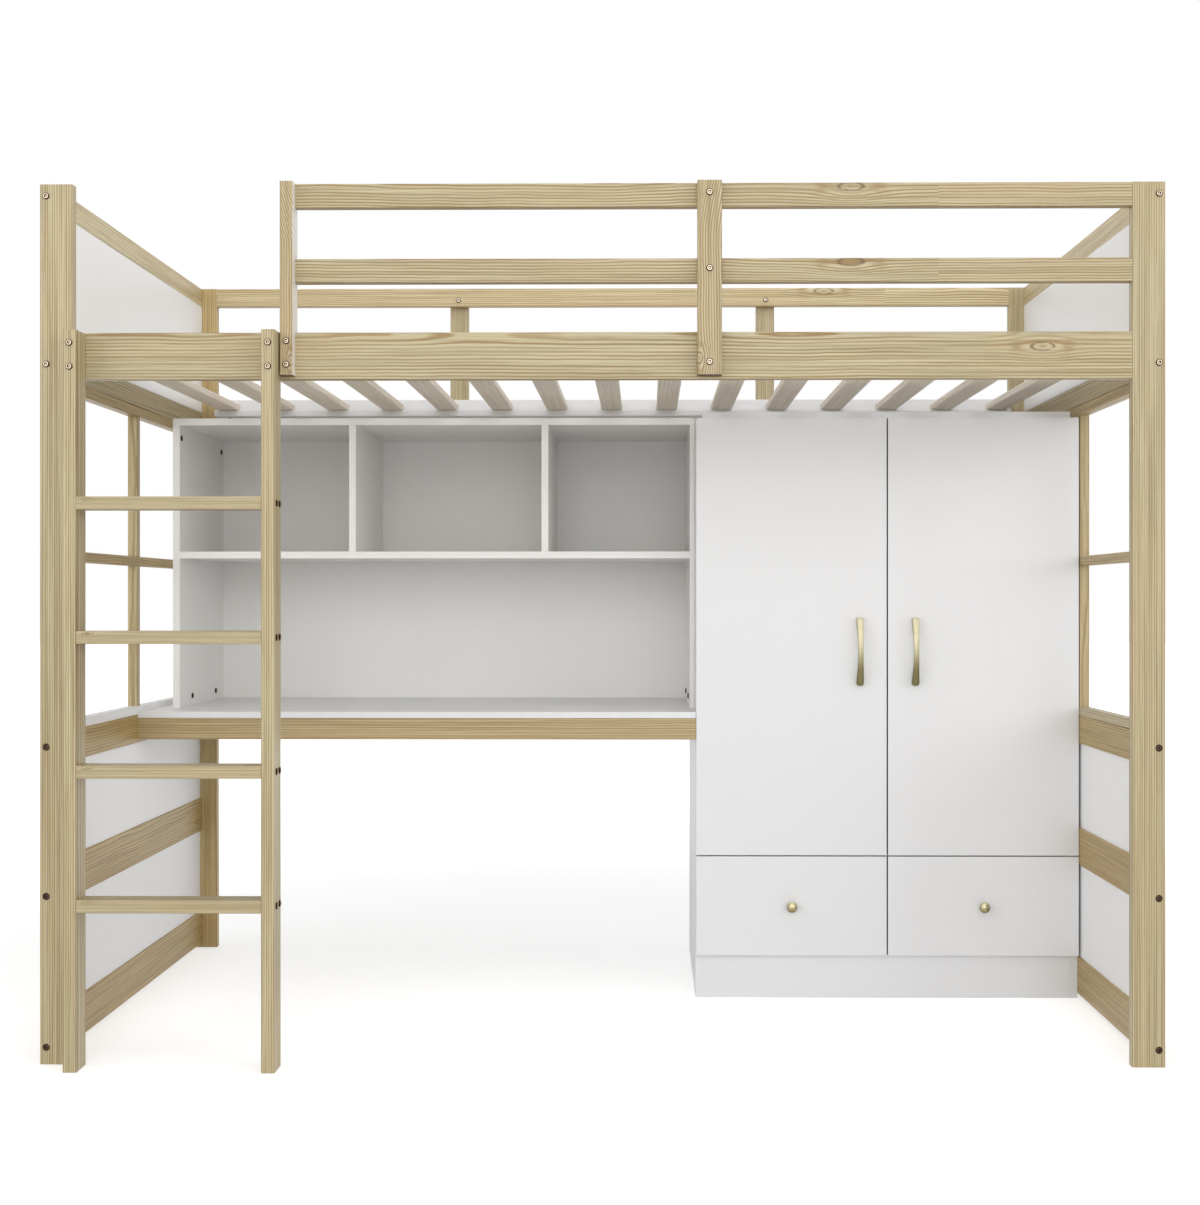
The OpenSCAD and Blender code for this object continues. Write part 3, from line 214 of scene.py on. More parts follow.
class Bench:
    """A material or a sky being made, node by node."""

    def __init__(self, name: str, sky: bool = False) -> None:
        """Starts an empty material or sky.

        Args:
            name: Its name.
            sky: Whether it is the sky round the scene.
        """
        self.made = bpy.data.worlds.new(name) if sky else bpy.data.materials.new(name)
        self.made.use_nodes = True
        self.tree = self.made.node_tree
        self.tree.nodes.clear()

    def node(self, kind: str, settings: dict | None = None, sockets: dict | None = None) -> bpy.types.Node:
        """Adds a node.

        Args:
            kind: The node's type.
            settings: Its properties, which are set first.
            sockets: Values or links by the name or the number of the socket.

        Returns:
            The node.
        """
        made = self.tree.nodes.new(kind)
        for key, value in (settings or {}).items():
            setattr(made, key, value)
        for key, value in (sockets or {}).items():
            socket = made.inputs[key]
            if isinstance(value, Link):
                self.tree.links.new(value.socket, socket)
            elif isinstance(value, bpy.types.NodeSocket):
                self.tree.links.new(value, socket)
            elif isinstance(value, tuple) and socket.type == "RGBA":
                socket.default_value = (*value, 1.0)
            else:
                socket.default_value = value
        return made

    def pick(self, kind: str, settings: dict | None = None, sockets: dict | None = None) -> Wire:
        """Adds a node and takes its first result as a number.

        Args:
            kind: The node's type.
            settings: Its properties.
            sockets: Values or links of its sockets.

        Returns:
            That result.
        """
        return Wire(self, self.node(kind, settings, sockets).outputs[0])

    def blend(
        self, share: Wire | float, under: Tint | Colour, over: Tint | Colour, how: str = "MIX"
    ) -> Tint:
        """Lays one colour over another.

        Args:
            share: How much of the upper colour shows.
            under: The lower colour.
            over: The upper colour.
            how: The way in which they blend.

        Returns:
            The blended colour.
        """
        settings = {"data_type": "RGBA", "blend_type": how}
        made = self.node("ShaderNodeMix", settings, {0: share, 6: under, 7: over})
        return Tint(self, made.outputs[2])

    def split(self, kind: str, whole: bpy.types.NodeSocket) -> tuple[Wire, Wire, Wire]:
        """Takes a vector or a colour apart.

        Args:
            kind: The type of the node that does it.
            whole: The vector or the colour.

        Returns:
            Its three numbers.
        """
        first, second, third = self.node(kind, sockets={0: whole}).outputs
        return Wire(self, first), Wire(self, second), Wire(self, third)

    def place(self) -> Place:
        """Finds where the surface is in the frame.

        Returns:
            The three coordinates, in metres.
        """
        return self.split("ShaderNodeSeparateXYZ", self.node("ShaderNodeTexCoord").outputs["Object"])

    def point(self, x: Wire | float, y: Wire | float, z: Wire | float) -> Wire:
        """Three numbers joined to one point.

        Args:
            x: First number.
            y: Second number.
            z: Third number.

        Returns:
            The point.
        """
        return self.pick("ShaderNodeCombineXYZ", sockets={0: x, 1: y, 2: z})

    def noise(self, at: Wire, scale: float = 1.0, detail: float = 2.0, rough: float = 0.5) -> Wire:
        """Soft noise about 0.5.

        Args:
            at: The point that it is read at.
            scale: How fine it is.
            detail: How many finer layers it has.
            rough: How strong these are.

        Returns:
            The noise.
        """
        sockets = {"Vector": at, "Scale": scale, "Detail": detail, "Roughness": rough}
        return self.pick("ShaderNodeTexNoise", {"noise_dimensions": "3D"}, sockets)

    def chances(self, lot: Wire | float) -> Place:
        """Three random numbers from 0 to 1 that belong to a lot number.

        Args:
            lot: The number of the board.

        Returns:
            The three numbers.
        """
        dice = self.node("ShaderNodeTexWhiteNoise", {"noise_dimensions": "1D"}, {"W": lot})
        return self.split("ShaderNodeSeparateColor", dice.outputs["Color"])

    def bump(self, height: Wire, depth: float, strength: float) -> Wire:
        """Turns a height into a dented surface.

        Args:
            height: The height, from 0 to 1.
            depth: What a height of 1 is, in metres.
            strength: How much of it shows.

        Returns:
            The surface's direction.
        """
        sockets = {"Height": height, "Distance": depth, "Strength": strength}
        return self.pick("ShaderNodeBump", None, sockets)

    def close(self, sockets: dict) -> bpy.types.Material:
        """Ends the material in one lacquered, plastic or metal surface.

        Args:
            sockets: Values or links of the surface's sockets.

        Returns:
            The finished material.
        """
        surface = self.node("ShaderNodeBsdfPrincipled", None, sockets)
        self.node("ShaderNodeOutputMaterial", None, {"Surface": surface.outputs[0]})
        return self.made


@dataclass(frozen=True)
class Row:
    """Boards of one piece that follow each other at an even pitch, so that each gets grain of its own."""

    axis: Axis
    pitch: float
    first: float

    def split(self, value: Wire) -> tuple[Wire, Wire]:
        """Splits a coordinate into the board's number and the place on that board.

        Args:
            value: The coordinate.

        Returns:
            The number, and the distance from the board's middle.
        """
        steps = (value - (self.first - self.pitch / 2)) / self.pitch
        number = steps.floor()
        return number, (steps - number - 0.5) * self.pitch


@dataclass(frozen=True)
class Knot:
    """A knot in a board: its middle and how far it reaches along and across the board."""

    along: float
    across: float
    length: float = 0.022
    width: float = 0.008


class Cut(Enum):
    """How a board was sawn from its log, as the share of the flat cut in it."""

    RIFT = 0.25
    MIXED = 0.55


@dataclass(frozen=True)
class Timber:
    """How the boards of one piece were sawn, and how their grain runs.

    The grain runs along the first axis, and the broad face reaches across the second. A knot or a joint is
    placed along the grain in the frame. A ring is one year's growth, in metres. Sway, ripple and lean bend
    the grain. Contrast sets how dark its lines are. Gain sets how pale its faces are: painted light, which
    makes a piece paler where the lamps light it less. Brown lays a browner tone over the whole: painted
    shade for a piece that stands in shade. Pale lays a pale, near-white tone over the side towards the
    right end.
    """

    node: str
    along: Axis
    across: Axis
    rows: tuple[Row, ...] = ()
    knots: tuple[Knot, ...] = ()
    joints: tuple[float, ...] = ()
    cut: Cut = Cut.RIFT
    ring: float = 0.0048
    sway: float = 1.0
    ripple: float = 1.0
    lean: float = 0.0
    lean_from: float = 0.0
    contrast: float = 1.0
    # Painted light: the whole piece is made this much paler, where the lamps light it less
    gain: float = 1.0
    # Painted shade: this share of the browner shade tone is laid over the whole piece, where it stands in
    # shade
    painted_shade: float = 0.0
    pale: float = 0.0


@dataclass(frozen=True)
class Marks:
    """One layer of marks in the wood, with how many lie on a metre along and across the grain."""

    along: float
    across: float
    layers: float = 2.0
    rough: float = 0.5
    shift: float = 0.0

    def read(self, bench: Bench, at: Place, drift: Wire | float = 0.0) -> Wire:
        """Reads how strong the marks are at a place.

        Args:
            bench: The material.
            at: The distances along the board, across its face and into it.
            drift: How far the marks are moved on this board.

        Returns:
            Their strength, about 0.5.
        """
        start, across, deep = at
        layer = deep * self.across + (self.shift + drift)
        place = bench.point(start * self.along, across * self.across, layer)
        return bench.noise(place, 1.0, self.layers, self.rough)


@dataclass(frozen=True)
class Pine:
    """Planed pine under a clear satin lacquer, with growth rings, fibres, flecks and knots, and painted
    shade on faces that point down.
    """

    early: Colour = tone(196, 183, 148)
    cool: Colour = tone(179, 168, 133)
    late: Colour = tone(150, 124, 80)
    warm: Colour = tone(188, 162, 118)
    dark: Colour = tone(122, 98, 62)
    heart: Colour = tone(104, 76, 48)
    # The browner tone of painted shade, laid over pieces that stand in shade and over faces that point down
    shade_brown: Colour = tone(224, 206, 162)
    # Painted shade: the dark tone laid over sawn ends that point down
    rough: Colour = tone(74, 50, 26)
    # A pale, near-white tone for the side that faces the right end
    pale_side_tone: Colour = tone(236, 232, 226)
    roughness: float = 0.46
    lacquer: float = 0.12
    lacquer_blur: float = 0.3
    relief: float = 0.00022
    relief_share: float = 0.6
    fibre: Marks = Marks(14.0, 700.0, rough=0.65)
    streak: Marks = Marks(2.4, 240.0, rough=0.6, shift=2.0)
    cloud: Marks = Marks(2.2, 12.0, shift=4.0)
    slow: Marks = Marks(1.7, 4.0, 1.0)
    wave: Marks = Marks(5.5, 11.0, 1.0)
    curl: Marks = Marks(18.0, 34.0)
    bark: Marks = Marks(120.0, 260.0)
    breaks: Marks = Marks(60.0, 160.0, 1.0, shift=3.0)
    fibre_strength: float = 1.5
    streak_strength: float = 1.3
    cloud_strength: float = 0.35
    lot_strength: float = 0.15
    burl_strength: float = 0.75
    heart_strength: float = 0.8
    rim_strength: float = 0.85
    sawn_strength: float = 0.4
    # How strongly painted shade darkens the faces that point down
    underside_shade_strength: float = 0.6
    late_starts: tuple[float, float] = (0.35, 0.8)
    late_ends: tuple[float, float] = (0.86, 1.0)
    log_length: float = 9.0
    lot_step: float = 13.7
    lot_turn: float = 5.3
    joint_step: float = 7.7
    heart_aside: float = 0.085
    heart_least: float = 0.01
    heart_under: float = 0.02
    heart_spread: float = 0.03
    flat_spread: float = 0.05
    slow_drift: float = 7.0
    slow_reach: float = 0.03
    slow_flat: float = 0.04
    wave_aside: float = 0.004
    wave_under: float = 0.006
    curl_rings: float = 0.35

    def dress(self, timber: Timber, seed: float) -> bpy.types.Material:
        """Makes the material of one piece.

        Args:
            timber: How its boards were sawn.
            seed: A number of its own.

        Returns:
            The material.
        """
        bench = Bench(f"pine_{timber.node}")
        along, across, deep, lot = self._lay(bench, timber, seed)
        chances = bench.chances(lot)
        at = (along + chances[0] * self.log_length, across, deep)
        eye, heart, rim, burl = self._knots(bench, timber, along, across)
        grown = self._rings(bench, timber, at, chances) + eye / timber.ring
        if timber.lean:
            grown = grown + (along - timber.lean_from).most(0.0) * (timber.lean / timber.ring)
        fibre = self.fibre.read(bench, at)
        streak = self.streak.read(bench, at)
        season = grown.rest()
        line = season.step(*self.late_starts) * (1.0 - season.step(*self.late_ends))
        wood = self._clear_wood(bench, timber, at, chances, (grown, line, fibre, streak))
        if timber.knots:
            wood = wood.over(burl.least(1.0) * self.burl_strength, self.late)
            wood = wood.over(heart.least(1.0) * self.heart_strength, self.late)
            wood = wood.over(rim.least(1.0) * self.rim_strength, self.heart)
        # Painted light: a piece that the lamps light less is made paler as a whole.
        if timber.gain != 1.0:
            wood = wood.over(1.0, (timber.gain,) * 3, "MULTIPLY")
        # Painted shade: a piece that stands in shade gets the browner shade tone over the whole.
        if timber.painted_shade:
            wood = wood.over(timber.painted_shade, self.shade_brown, "MULTIPLY")
        sawn, lower, right = self._faces(bench, timber.along)
        wood = wood.over(sawn * self.sawn_strength, self.late)
        # Painted shade: faces that point down are darkened towards the browner shade tone.
        wood = wood.over(lower * self.underside_shade_strength, self.shade_brown, "MULTIPLY")
        # Painted shade: sawn ends that point down are darkened to the dark rough tone.
        wood = wood.over(sawn * lower, self.rough)
        # The side that faces the right end gets a pale, near-white tone.
        if timber.pale:
            wood = wood.over(right * timber.pale, self.pale_side_tone)
        return bench.close(
            {
                "Base Color": wood,
                "Roughness": self.roughness + (streak - 0.5) * 0.16 + line * 0.06,
                "Normal": bench.bump(line * 0.45 + fibre * 0.55, self.relief, self.relief_share),
                "Coat Weight": self.lacquer,
                "Coat Roughness": self.lacquer_blur,
            }
        )

    def _clear_wood(
        self, bench: Bench, timber: Timber, at: Place, chances: Place, grain: tuple[Wire, Wire, Wire, Wire]
    ) -> Tint:
        """Colours the wood between the knots.

        Args:
            bench: The material.
            timber: How the boards were sawn.
            at: The place on the board.
            chances: The board's random numbers.
            grain: The count of rings, the dark line of each, the fibres and the streaks.

        Returns:
            The colour.
        """
        grown, line, fibre, streak = grain
        year = bench.noise(bench.point(grown.floor() * 0.73, chances[1] * 5.0, at[0] * 2.6), 1.0, 1.0)
        depth = (year - 0.18).most(0.0).least(0.5) * (2.0 * timber.contrast)
        cloud = self.cloud.read(bench, at)
        wood = bench.blend(streak.step(0.35, 0.65), self.early, self.cool)
        wood = wood.over((line * depth).least(1.0), self.late)
        wood = wood.over((streak - 0.5).most(0.0) * self.streak_strength, self.dark)
        wood = wood.over(cloud.step(0.5, 0.8) * self.cloud_strength, self.warm)
        wood = wood.over((fibre - 0.5).most(0.0) * self.fibre_strength, self.dark)
        return wood.over((chances[2] - 0.4).most(0.0) * self.lot_strength, self.warm)

    def _lay(self, bench: Bench, timber: Timber, seed: float) -> tuple[Wire, Wire, Wire, Wire | float]:
        """Finds the place on a board.

        Args:
            bench: The material.
            timber: How the boards lie.
            seed: The piece's own number.

        Returns:
            The distances along the board, across its face and into it, and the board's lot number.
        """
        places = list(bench.place())
        low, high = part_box(timber.node)
        lot: Wire | float = seed
        for axis in Axis:
            rows = [row for row in timber.rows if row.axis is axis]
            if rows:
                number, places[axis.value] = rows[0].split(places[axis.value])
                lot = lot + number * (self.lot_step + self.lot_turn * axis.value)
            elif axis is not timber.along:
                places[axis.value] = places[axis.value] - (low[axis.value] + high[axis.value]) / 2
        through = next(axis for axis in Axis if axis not in (timber.along, timber.across))
        along, across, deep = (places[axis.value] for axis in (timber.along, timber.across, through))
        for joint in timber.joints:
            lot = lot + (along > joint) * self.joint_step
        return along, across, deep, lot

    def _rings(self, bench: Bench, timber: Timber, at: Place, chances: Place) -> Wire:
        """Counts the growth rings out from the heart of the tree.

        Args:
            bench: The material.
            timber: How the board was sawn.
            at: The place on the board.
            chances: The board's random numbers.

        Returns:
            How many rings lie between the heart and the surface there.
        """
        across, deep = at[1:]
        flat = timber.cut.value
        slow = self.slow.read(bench, at, chances[1] * self.slow_drift) - 0.5
        wave = self.wave.read(bench, at) - 0.5
        curl = self.curl.read(bench, at) - 0.5
        near = self.heart_aside * (1.0 - flat) + self.heart_least
        aside = near + (chances[1] - 0.5) * (self.flat_spread * flat) - across
        aside = aside + wave * (self.wave_aside * timber.sway)
        bent = (slow * (self.slow_reach + self.slow_flat * flat) + wave * self.wave_under) * timber.sway
        under = deep + self.heart_under + chances[2] * self.heart_spread + bent
        reach = (aside * aside + under * under).root()
        return reach / timber.ring + curl * (self.curl_rings * timber.ripple)

    def _knots(self, bench: Bench, timber: Timber, along: Wire, across: Wire) -> tuple[Wire | float, ...]:
        """Bends the grain round the knots.

        Args:
            bench: The material.
            timber: The boards and their knots.
            along: The distance along the board.
            across: The distance across its face.

        Returns:
            How far the rings are pushed aside, in metres, and how much shows of the knot's heart, of the
            bark round it and of the darker wood beside it.
        """
        eye: Wire | float = 0.0
        heart: Wire | float = 0.0
        rim: Wire | float = 0.0
        burl: Wire | float = 0.0
        if timber.knots:
            rag = self.bark.read(bench, (along, across, 0.0)) - 0.5
            gap = self.breaks.read(bench, (along, across, 0.0)).step(0.26, 0.46)
        for knot in timber.knots:
            # The distance from the knot's middle, where 1 is its ragged edge
            run = (along - knot.along) / knot.length
            rise = (across - knot.across) / knot.width
            reach = (run * run + rise * rise).root() + rag * 0.35
            # The rings part round the knot, most beside it, and its own heart is dark
            eye = (reach * 0.4).bell() * rise * (knot.width * 0.95) + eye
            heart = (reach * 3.2).bell() + heart
            # The bark lies round its edge, and nearer to the heart where it breaks off
            outer = ((reach - 0.9) * 6.5).bell() * gap
            inner = ((reach - 0.5) * 8.0).bell() * (1.0 - gap) * 0.8
            rim = outer + inner + rim
            # Darker wood lies before and behind it along the grain
            burl = ((abs(run) - 2.1) * 1.9).bell() * (rise * 0.8).bell() * (gap * 0.7 + 0.3) + burl
        return eye, heart, rim, burl

    @staticmethod
    def _faces(bench: Bench, along: Axis) -> Place:
        """Where a board is cut across, where it faces down, and where it faces right.

        Args:
            bench: The material.
            along: The way of the grain.

        Returns:
            1 on a sawn end, else 0, and the same for the lower face and for the face towards the right end.
        """
        facing = bench.node("ShaderNodeNewGeometry").outputs["True Normal"]
        sides = bench.split("ShaderNodeSeparateXYZ", facing)
        return abs(sides[along.value]).step(0.6, 0.9), (-sides[2]).step(0.5, 0.9), sides[0].step(0.6, 0.9)


@dataclass(frozen=True)
class WhiteBoard:
    """White melamine on chipboard, with the faint stipple of its pressing.

    Fronts that meet at a seam get painted shade on their edges there: a dark band from a little behind the
    front face, where the gap between them lies in shadow.
    """

    colour: Colour = tone(231, 231, 232)
    roughness: float = 0.38
    shine: float = 0.45
    stipple: float = 1400.0
    wave: float = 34.0
    haze: float = 2.6
    relief: float = 0.00005
    # The dark tone of the painted shade in the gap between fronts
    gap_shade: Colour = tone(30, 30, 31)
    seam: float | None = None
    seam_reach: float = 0.0017
    gap_shade_from: float = 0.0062
    gap_shade_to: float = 0.0188

    def dress(self, name: str) -> bpy.types.Material:
        """Makes the material.

        Args:
            name: Its name.

        Returns:
            The material.
        """
        bench = Bench(name)
        x, y, z = bench.place()
        at = bench.point(x, y, z)
        stipple = bench.noise(at, self.stipple, 2.0, 0.6)
        wave = bench.noise(at, self.wave, 2.0)
        haze = bench.noise(at, self.haze, 3.0)
        colour = bench.blend(haze * 0.5, self.colour, tuple(0.965 * value for value in self.colour))
        rough = self.roughness + (haze - 0.5) * 0.14 + (stipple - 0.5) * 0.1
        # Painted shade: near the seam the edges are dark from a little behind the front face, as the gap is
        # in shadow.
        if self.seam is not None:
            near = 1.0 - (abs(x - self.seam) > self.seam_reach)
            gap_shade = near * (y > self.gap_shade_from) * (1.0 - (y > self.gap_shade_to))
            colour = colour.over(gap_shade, self.gap_shade)
            rough = rough.most(gap_shade)
        return bench.close(
            {
                "Base Color": colour,
                "Roughness": rough,
                "Normal": bench.bump(stipple * 0.5 + wave * 0.5, self.relief, 0.5),
                "Specular IOR Level": self.shine,
            }
        )


@dataclass(frozen=True)
class Metal:
    """Plated metal, drawn or turned, with fine lines and wear in its shine.

    Each span gives two heights in the frame: the plating shows its own colour at the first and is darkened
    by painted shade at the second, the lower one.
    The span ends a little above the one and a little below the other.
    """

    colour: Colour
    worn: Colour
    roughness: float
    lines: Point = (900.0, 900.0, 40.0)
    patches: float = 85.0
    relief: float = 0.00003
    painted_lower_shade: Colour = (0.2, 0.2, 0.2)
    shade_spans: tuple[tuple[float, float], ...] = ()
    above: float = 0.02
    below: float = 0.04

    def dress(self, name: str) -> bpy.types.Material:
        """Makes the material.

        Args:
            name: Its name.

        Returns:
            The material.
        """
        bench = Bench(name)
        x, y, z = bench.place()
        fine = bench.point(x * self.lines[0], y * self.lines[1], z * self.lines[2])
        drawn = bench.noise(fine, 1.0, 3.0, 0.6)
        patch = bench.noise(bench.point(x, y, z), self.patches, 3.0)
        colour = bench.blend(patch.step(0.42, 0.75) * 0.6, self.colour, self.worn)
        # Painted shade: within each span the plating darkens towards the lower height.
        for top, foot in self.shade_spans:
            near = (z > foot - self.below) * (1.0 - (z > top + self.above))
            colour = colour.over((1.0 - z.step(foot, top)) * near, self.painted_lower_shade)
        return bench.close(
            {
                "Base Color": colour,
                "Metallic": 1.0,
                "Roughness": self.roughness + (drawn - 0.5) * 0.2 + (patch - 0.5) * 0.12,
                "Normal": bench.bump(drawn, self.relief, 0.5),
            }
        )


# The handles and the knobs darken towards their lower ends: painted shade.
GOLD = Metal(
    tone(198, 192, 162),
    tone(186, 179, 146),
    0.5,
    painted_lower_shade=tone(118, 111, 76),
    shade_spans=((0.755, 0.68),),
)
POLISHED_GOLD = Metal(
    tone(214, 206, 170),
    tone(200, 190, 150),
    0.26,
    painted_lower_shade=tone(126, 116, 76),
    shade_spans=((0.206, 0.183),),
)
ZINC = Metal(tone(200, 202, 205), tone(176, 178, 182), 0.32)
COPPER = Metal(tone(212, 194, 174), tone(194, 168, 142), 0.4)
# Dark metal for painted shade: the walls of the bolt sockets and the sides of the heads
SHADE_METAL = Metal(tone(62, 42, 28), tone(48, 32, 22), 0.7)
BLACKENED = Metal(tone(92, 74, 66), tone(70, 56, 50), 0.38)
LACQUERED_PINE = Pine()
PLANED_PINE = Pine(
    early=tone(240, 231, 217),
    cool=tone(232, 223, 209),
    late=tone(216, 202, 182),
    warm=tone(236, 220, 200),
    dark=tone(190, 174, 152),
    shade_brown=(1.0, 1.0, 1.0),
    roughness=0.6,
    lacquer=0.0,
)
WHITE_BOARD = WhiteBoard()
# A warmer and paler copy of the white board for the shelf unit; its paler tone is painted light for an
# inside that lies in shade.
WARM_BOARD = WhiteBoard(tone(239, 238, 235))
# The fronts, with painted shade in the gap at their seam
GAP_SHADED_BOARD = WhiteBoard(seam=0.5835)
# A paler copy of the white board for the end panels: painted light, as the lamps light these panels less.
PANEL_BOARD = WhiteBoard(tone(246, 246, 246))

BOTH_ENDS = Row(Axis.X, 1.987, -0.9935)
UPRIGHT = Timber("upright", Axis.Z, Axis.X, ring=0.0042, sway=0.2, ripple=0.4, contrast=1.3)
STILE = replace(UPRIGHT, sway=0.15)
LONG_RAIL = Timber("long_rail", Axis.X, Axis.Z, cut=Cut.MIXED, contrast=1.7)
GUARD_BOARD = Timber("guard_board", Axis.Z, Axis.X, sway=0.6, ripple=2.2)


def paint(node: str, material: bpy.types.Material) -> None:
    """Gives a CAD piece its material.

    Args:
        node: The piece.
        material: Its material.
    """
    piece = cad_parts[node]
    for slot in piece.material_slots:
        slot.material = material


def soften(node: str, radius: float) -> None:
    """Rounds the sharp edges of a CAD piece a little, as a real edge is.

    The flat faces are made whole first, so that the rounding leaves no slivers between bolt holes.

    Args:
        node: The piece.
        radius: Radius of the edge, in metres.
    """
    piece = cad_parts[node]
    weld = piece.modifiers.new("join", "WELD")
    weld.merge_threshold = SAME_PLACE
    flat = piece.modifiers.new("flat", "DECIMATE")
    flat.decimate_type = "DISSOLVE"
    flat.angle_limit = FLAT_WITHIN
    edge = piece.modifiers.new("edge", "BEVEL")
    edge.width = radius
    edge.segments = EDGE_STEPS
    edge.limit_method = "ANGLE"
    edge.angle_limit = SHARP_FROM
    edge.use_clamp_overlap = True
    edge.harden_normals = False
    even = piece.modifiers.new("even", "WEIGHTED_NORMAL")
    even.keep_sharp = True


def shells(shape: bmesh.types.BMesh) -> list[list[bmesh.types.BMVert]]:
    """Finds the loose solids of a shape.

    Args:
        shape: The shape, with its doubles merged.

    Returns:
        The corners of each solid, the largest solid first.
    """
    left = dict.fromkeys(shape.verts)
    found = []
    while left:
        shell = [left.popitem()[0]]
        for vert in shell:
            for edge in vert.link_edges:
                other = edge.other_vert(vert)
                if other in left:
                    del left[other]
                    shell.append(other)
        found.append(shell)

    def reach(shell: list[bmesh.types.BMVert]) -> float:
        """The longest side of a solid's box."""
        return max(box_of(shell)[1] - box_of(shell)[0])

    return sorted(found, key=reach, reverse=True)


def box_of(verts: Iterable[bmesh.types.BMVert]) -> tuple[Vector, Vector]:
    """The box round some corners.

    Args:
        verts: The corners.

    Returns:
        Its lowest and its highest corner.
    """
    places = [vert.co for vert in verts]
    return (
        Vector([min(place[axis] for place in places) for axis in range(3)]),
        Vector([max(place[axis] for place in places) for axis in range(3)]),
    )


def copy_of(node: str) -> bmesh.types.BMesh:
    """A copy of a CAD piece's mesh, merged.

    Args:
        node: The piece.

    Returns:
        The copy.
    """
    shape = bmesh.new()
    shape.from_mesh(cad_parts[node].data)
    bmesh.ops.remove_doubles(shape, verts=shape.verts, dist=SAME_CORNER)
    return shape


def mesh_of(name: str, shape: bmesh.types.BMesh) -> bpy.types.Mesh:
    """Turns a shape into a mesh.

    Args:
        name: The mesh's name.
        shape: The shape, which is used up.

    Returns:
        The mesh.
    """
    mesh = bpy.data.meshes.new(name)
    shape.to_mesh(mesh)
    shape.free()
    return mesh


def placed(name: str, data: bpy.types.ID) -> bpy.types.Object:
    """Puts a new object into the scene.

    Args:
        name: Its name.
        data: Its mesh, its light or its lens.

    Returns:
        The object.
    """
    made = bpy.data.objects.new(name, data)
    bpy.context.scene.collection.objects.link(made)
    return made


def joined(shape: bmesh.types.BMesh, other: bmesh.types.BMesh) -> bmesh.types.BMesh:
    """Adds one shape to another.

    Args:
        shape: The shape that is added to.
        other: The shape that is added, which is used up.

    Returns:
        The first shape with both in it.
    """
    spare = mesh_of("spare", other)
    shape.from_mesh(spare)
    bpy.data.meshes.remove(spare)
    return shape


@dataclass
class Workpiece:
    """A piece made here that stands for a CAD piece."""

    name: str
    node: str
    body: str
    slot: str
    materials: tuple[bpy.types.Material, ...]
    crease: float = 38.0

    def finish(self, shape: bmesh.types.BMesh) -> None:
        """Turns the shape into an object that rides with its body in place of the CAD piece.

        Args:
            shape: The finished shape, in the frame.
        """
        mesh = mesh_of(self.name, shape)
        for face in mesh.polygons:
            face.use_smooth = True
        mesh.set_sharp_from_angle(angle=math.radians(self.crease))
        for material in self.materials:
            mesh.materials.append(material)
        piece = placed(self.name, mesh)
        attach(piece, self.body)
        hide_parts(self.node)
        log.info("made %s", self.name)


@dataclass
class SubAssembly:
    """A group of pieces of the bed that are made and finished together."""

    title: str = ""
    timbers: tuple[Timber, ...] = ()
    boards: tuple[str, ...] = ()
    board: WhiteBoard = WHITE_BOARD
    board_edge: float = 0.0006
    seed: float = 1.0
    seed_step: float = 2.37

    def dress(self) -> None:
        """Gives each piece of the group its finish."""
        for number, timber in enumerate(self.timbers):
            pine = LACQUERED_PINE.dress(timber, self.seed + self.seed_step * number)
            self.cover((timber.node,), pine, "pine")
        if self.boards:
            white = self.board.dress(f"white_{self.title.replace(' ', '_')}")
            self.cover(self.boards, white, "white board", self.board_edge)

    def cover(
        self, nodes: tuple[str, ...], material: bpy.types.Material, kind: str, edge: float = 0.0
    ) -> None:
        """Gives CAD pieces one finish.

        Args:
            nodes: The pieces.
            material: Their material.
            kind: What the log calls it.
            edge: Radius of their edges, in metres, or 0 where they stay sharp.
        """
        for node in nodes:
            paint(node, material)
            if edge:
                soften(node, edge)
            log.info("%s: %s in %s", self.title, node, kind)

    def build(self) -> None:
        """Makes the group's own pieces, where it has any."""


@dataclass
class EndFrames(SubAssembly):
    """The four posts with the rails, panels and window bars between them."""

    title: str = "end frames"
    seed: float = 11.0
    # The pieces made paler here get painted light, and those made darker and browner get painted shade.
    timbers: tuple[Timber, ...] = (
        replace(STILE, node="post_front_left", gain=1.08),
        replace(UPRIGHT, node="post_front_right"),
        replace(UPRIGHT, node="post_rear_left", gain=1.3, painted_shade=0.65),
        replace(UPRIGHT, node="post_rear_right"),
        Timber("end_top_rails", Axis.Y, Axis.Z, (BOTH_ENDS,), gain=1.3),
        Timber("end_slat_rails", Axis.Y, Axis.Z, (BOTH_ENDS,)),
        Timber(
            "window_bars",
            Axis.Y,
            Axis.Z,
            (BOTH_ENDS, Row(Axis.Z, 0.3135, 0.9125)),
            gain=1.13,
            painted_shade=0.65,
        ),
        Timber("window_uprights", Axis.Z, Axis.Y, (BOTH_ENDS,), gain=1.11, painted_shade=0.35),
        Timber("window_sill_right", Axis.Y, Axis.Z),
        Timber(
            "end_low_rails",
            Axis.Y,
            Axis.Z,
            (BOTH_ENDS, Row(Axis.Z, 0.26, 0.049)),
            (Knot(0.49, -0.004, 0.009, 0.005),),
            sway=0.5,
            gain=1.18,
            painted_shade=0.9,
        ),
    )
    board: WhiteBoard = PANEL_BOARD
    boards: tuple[str, ...] = ("end_high_panels", "end_low_panels", "window_sill_left")


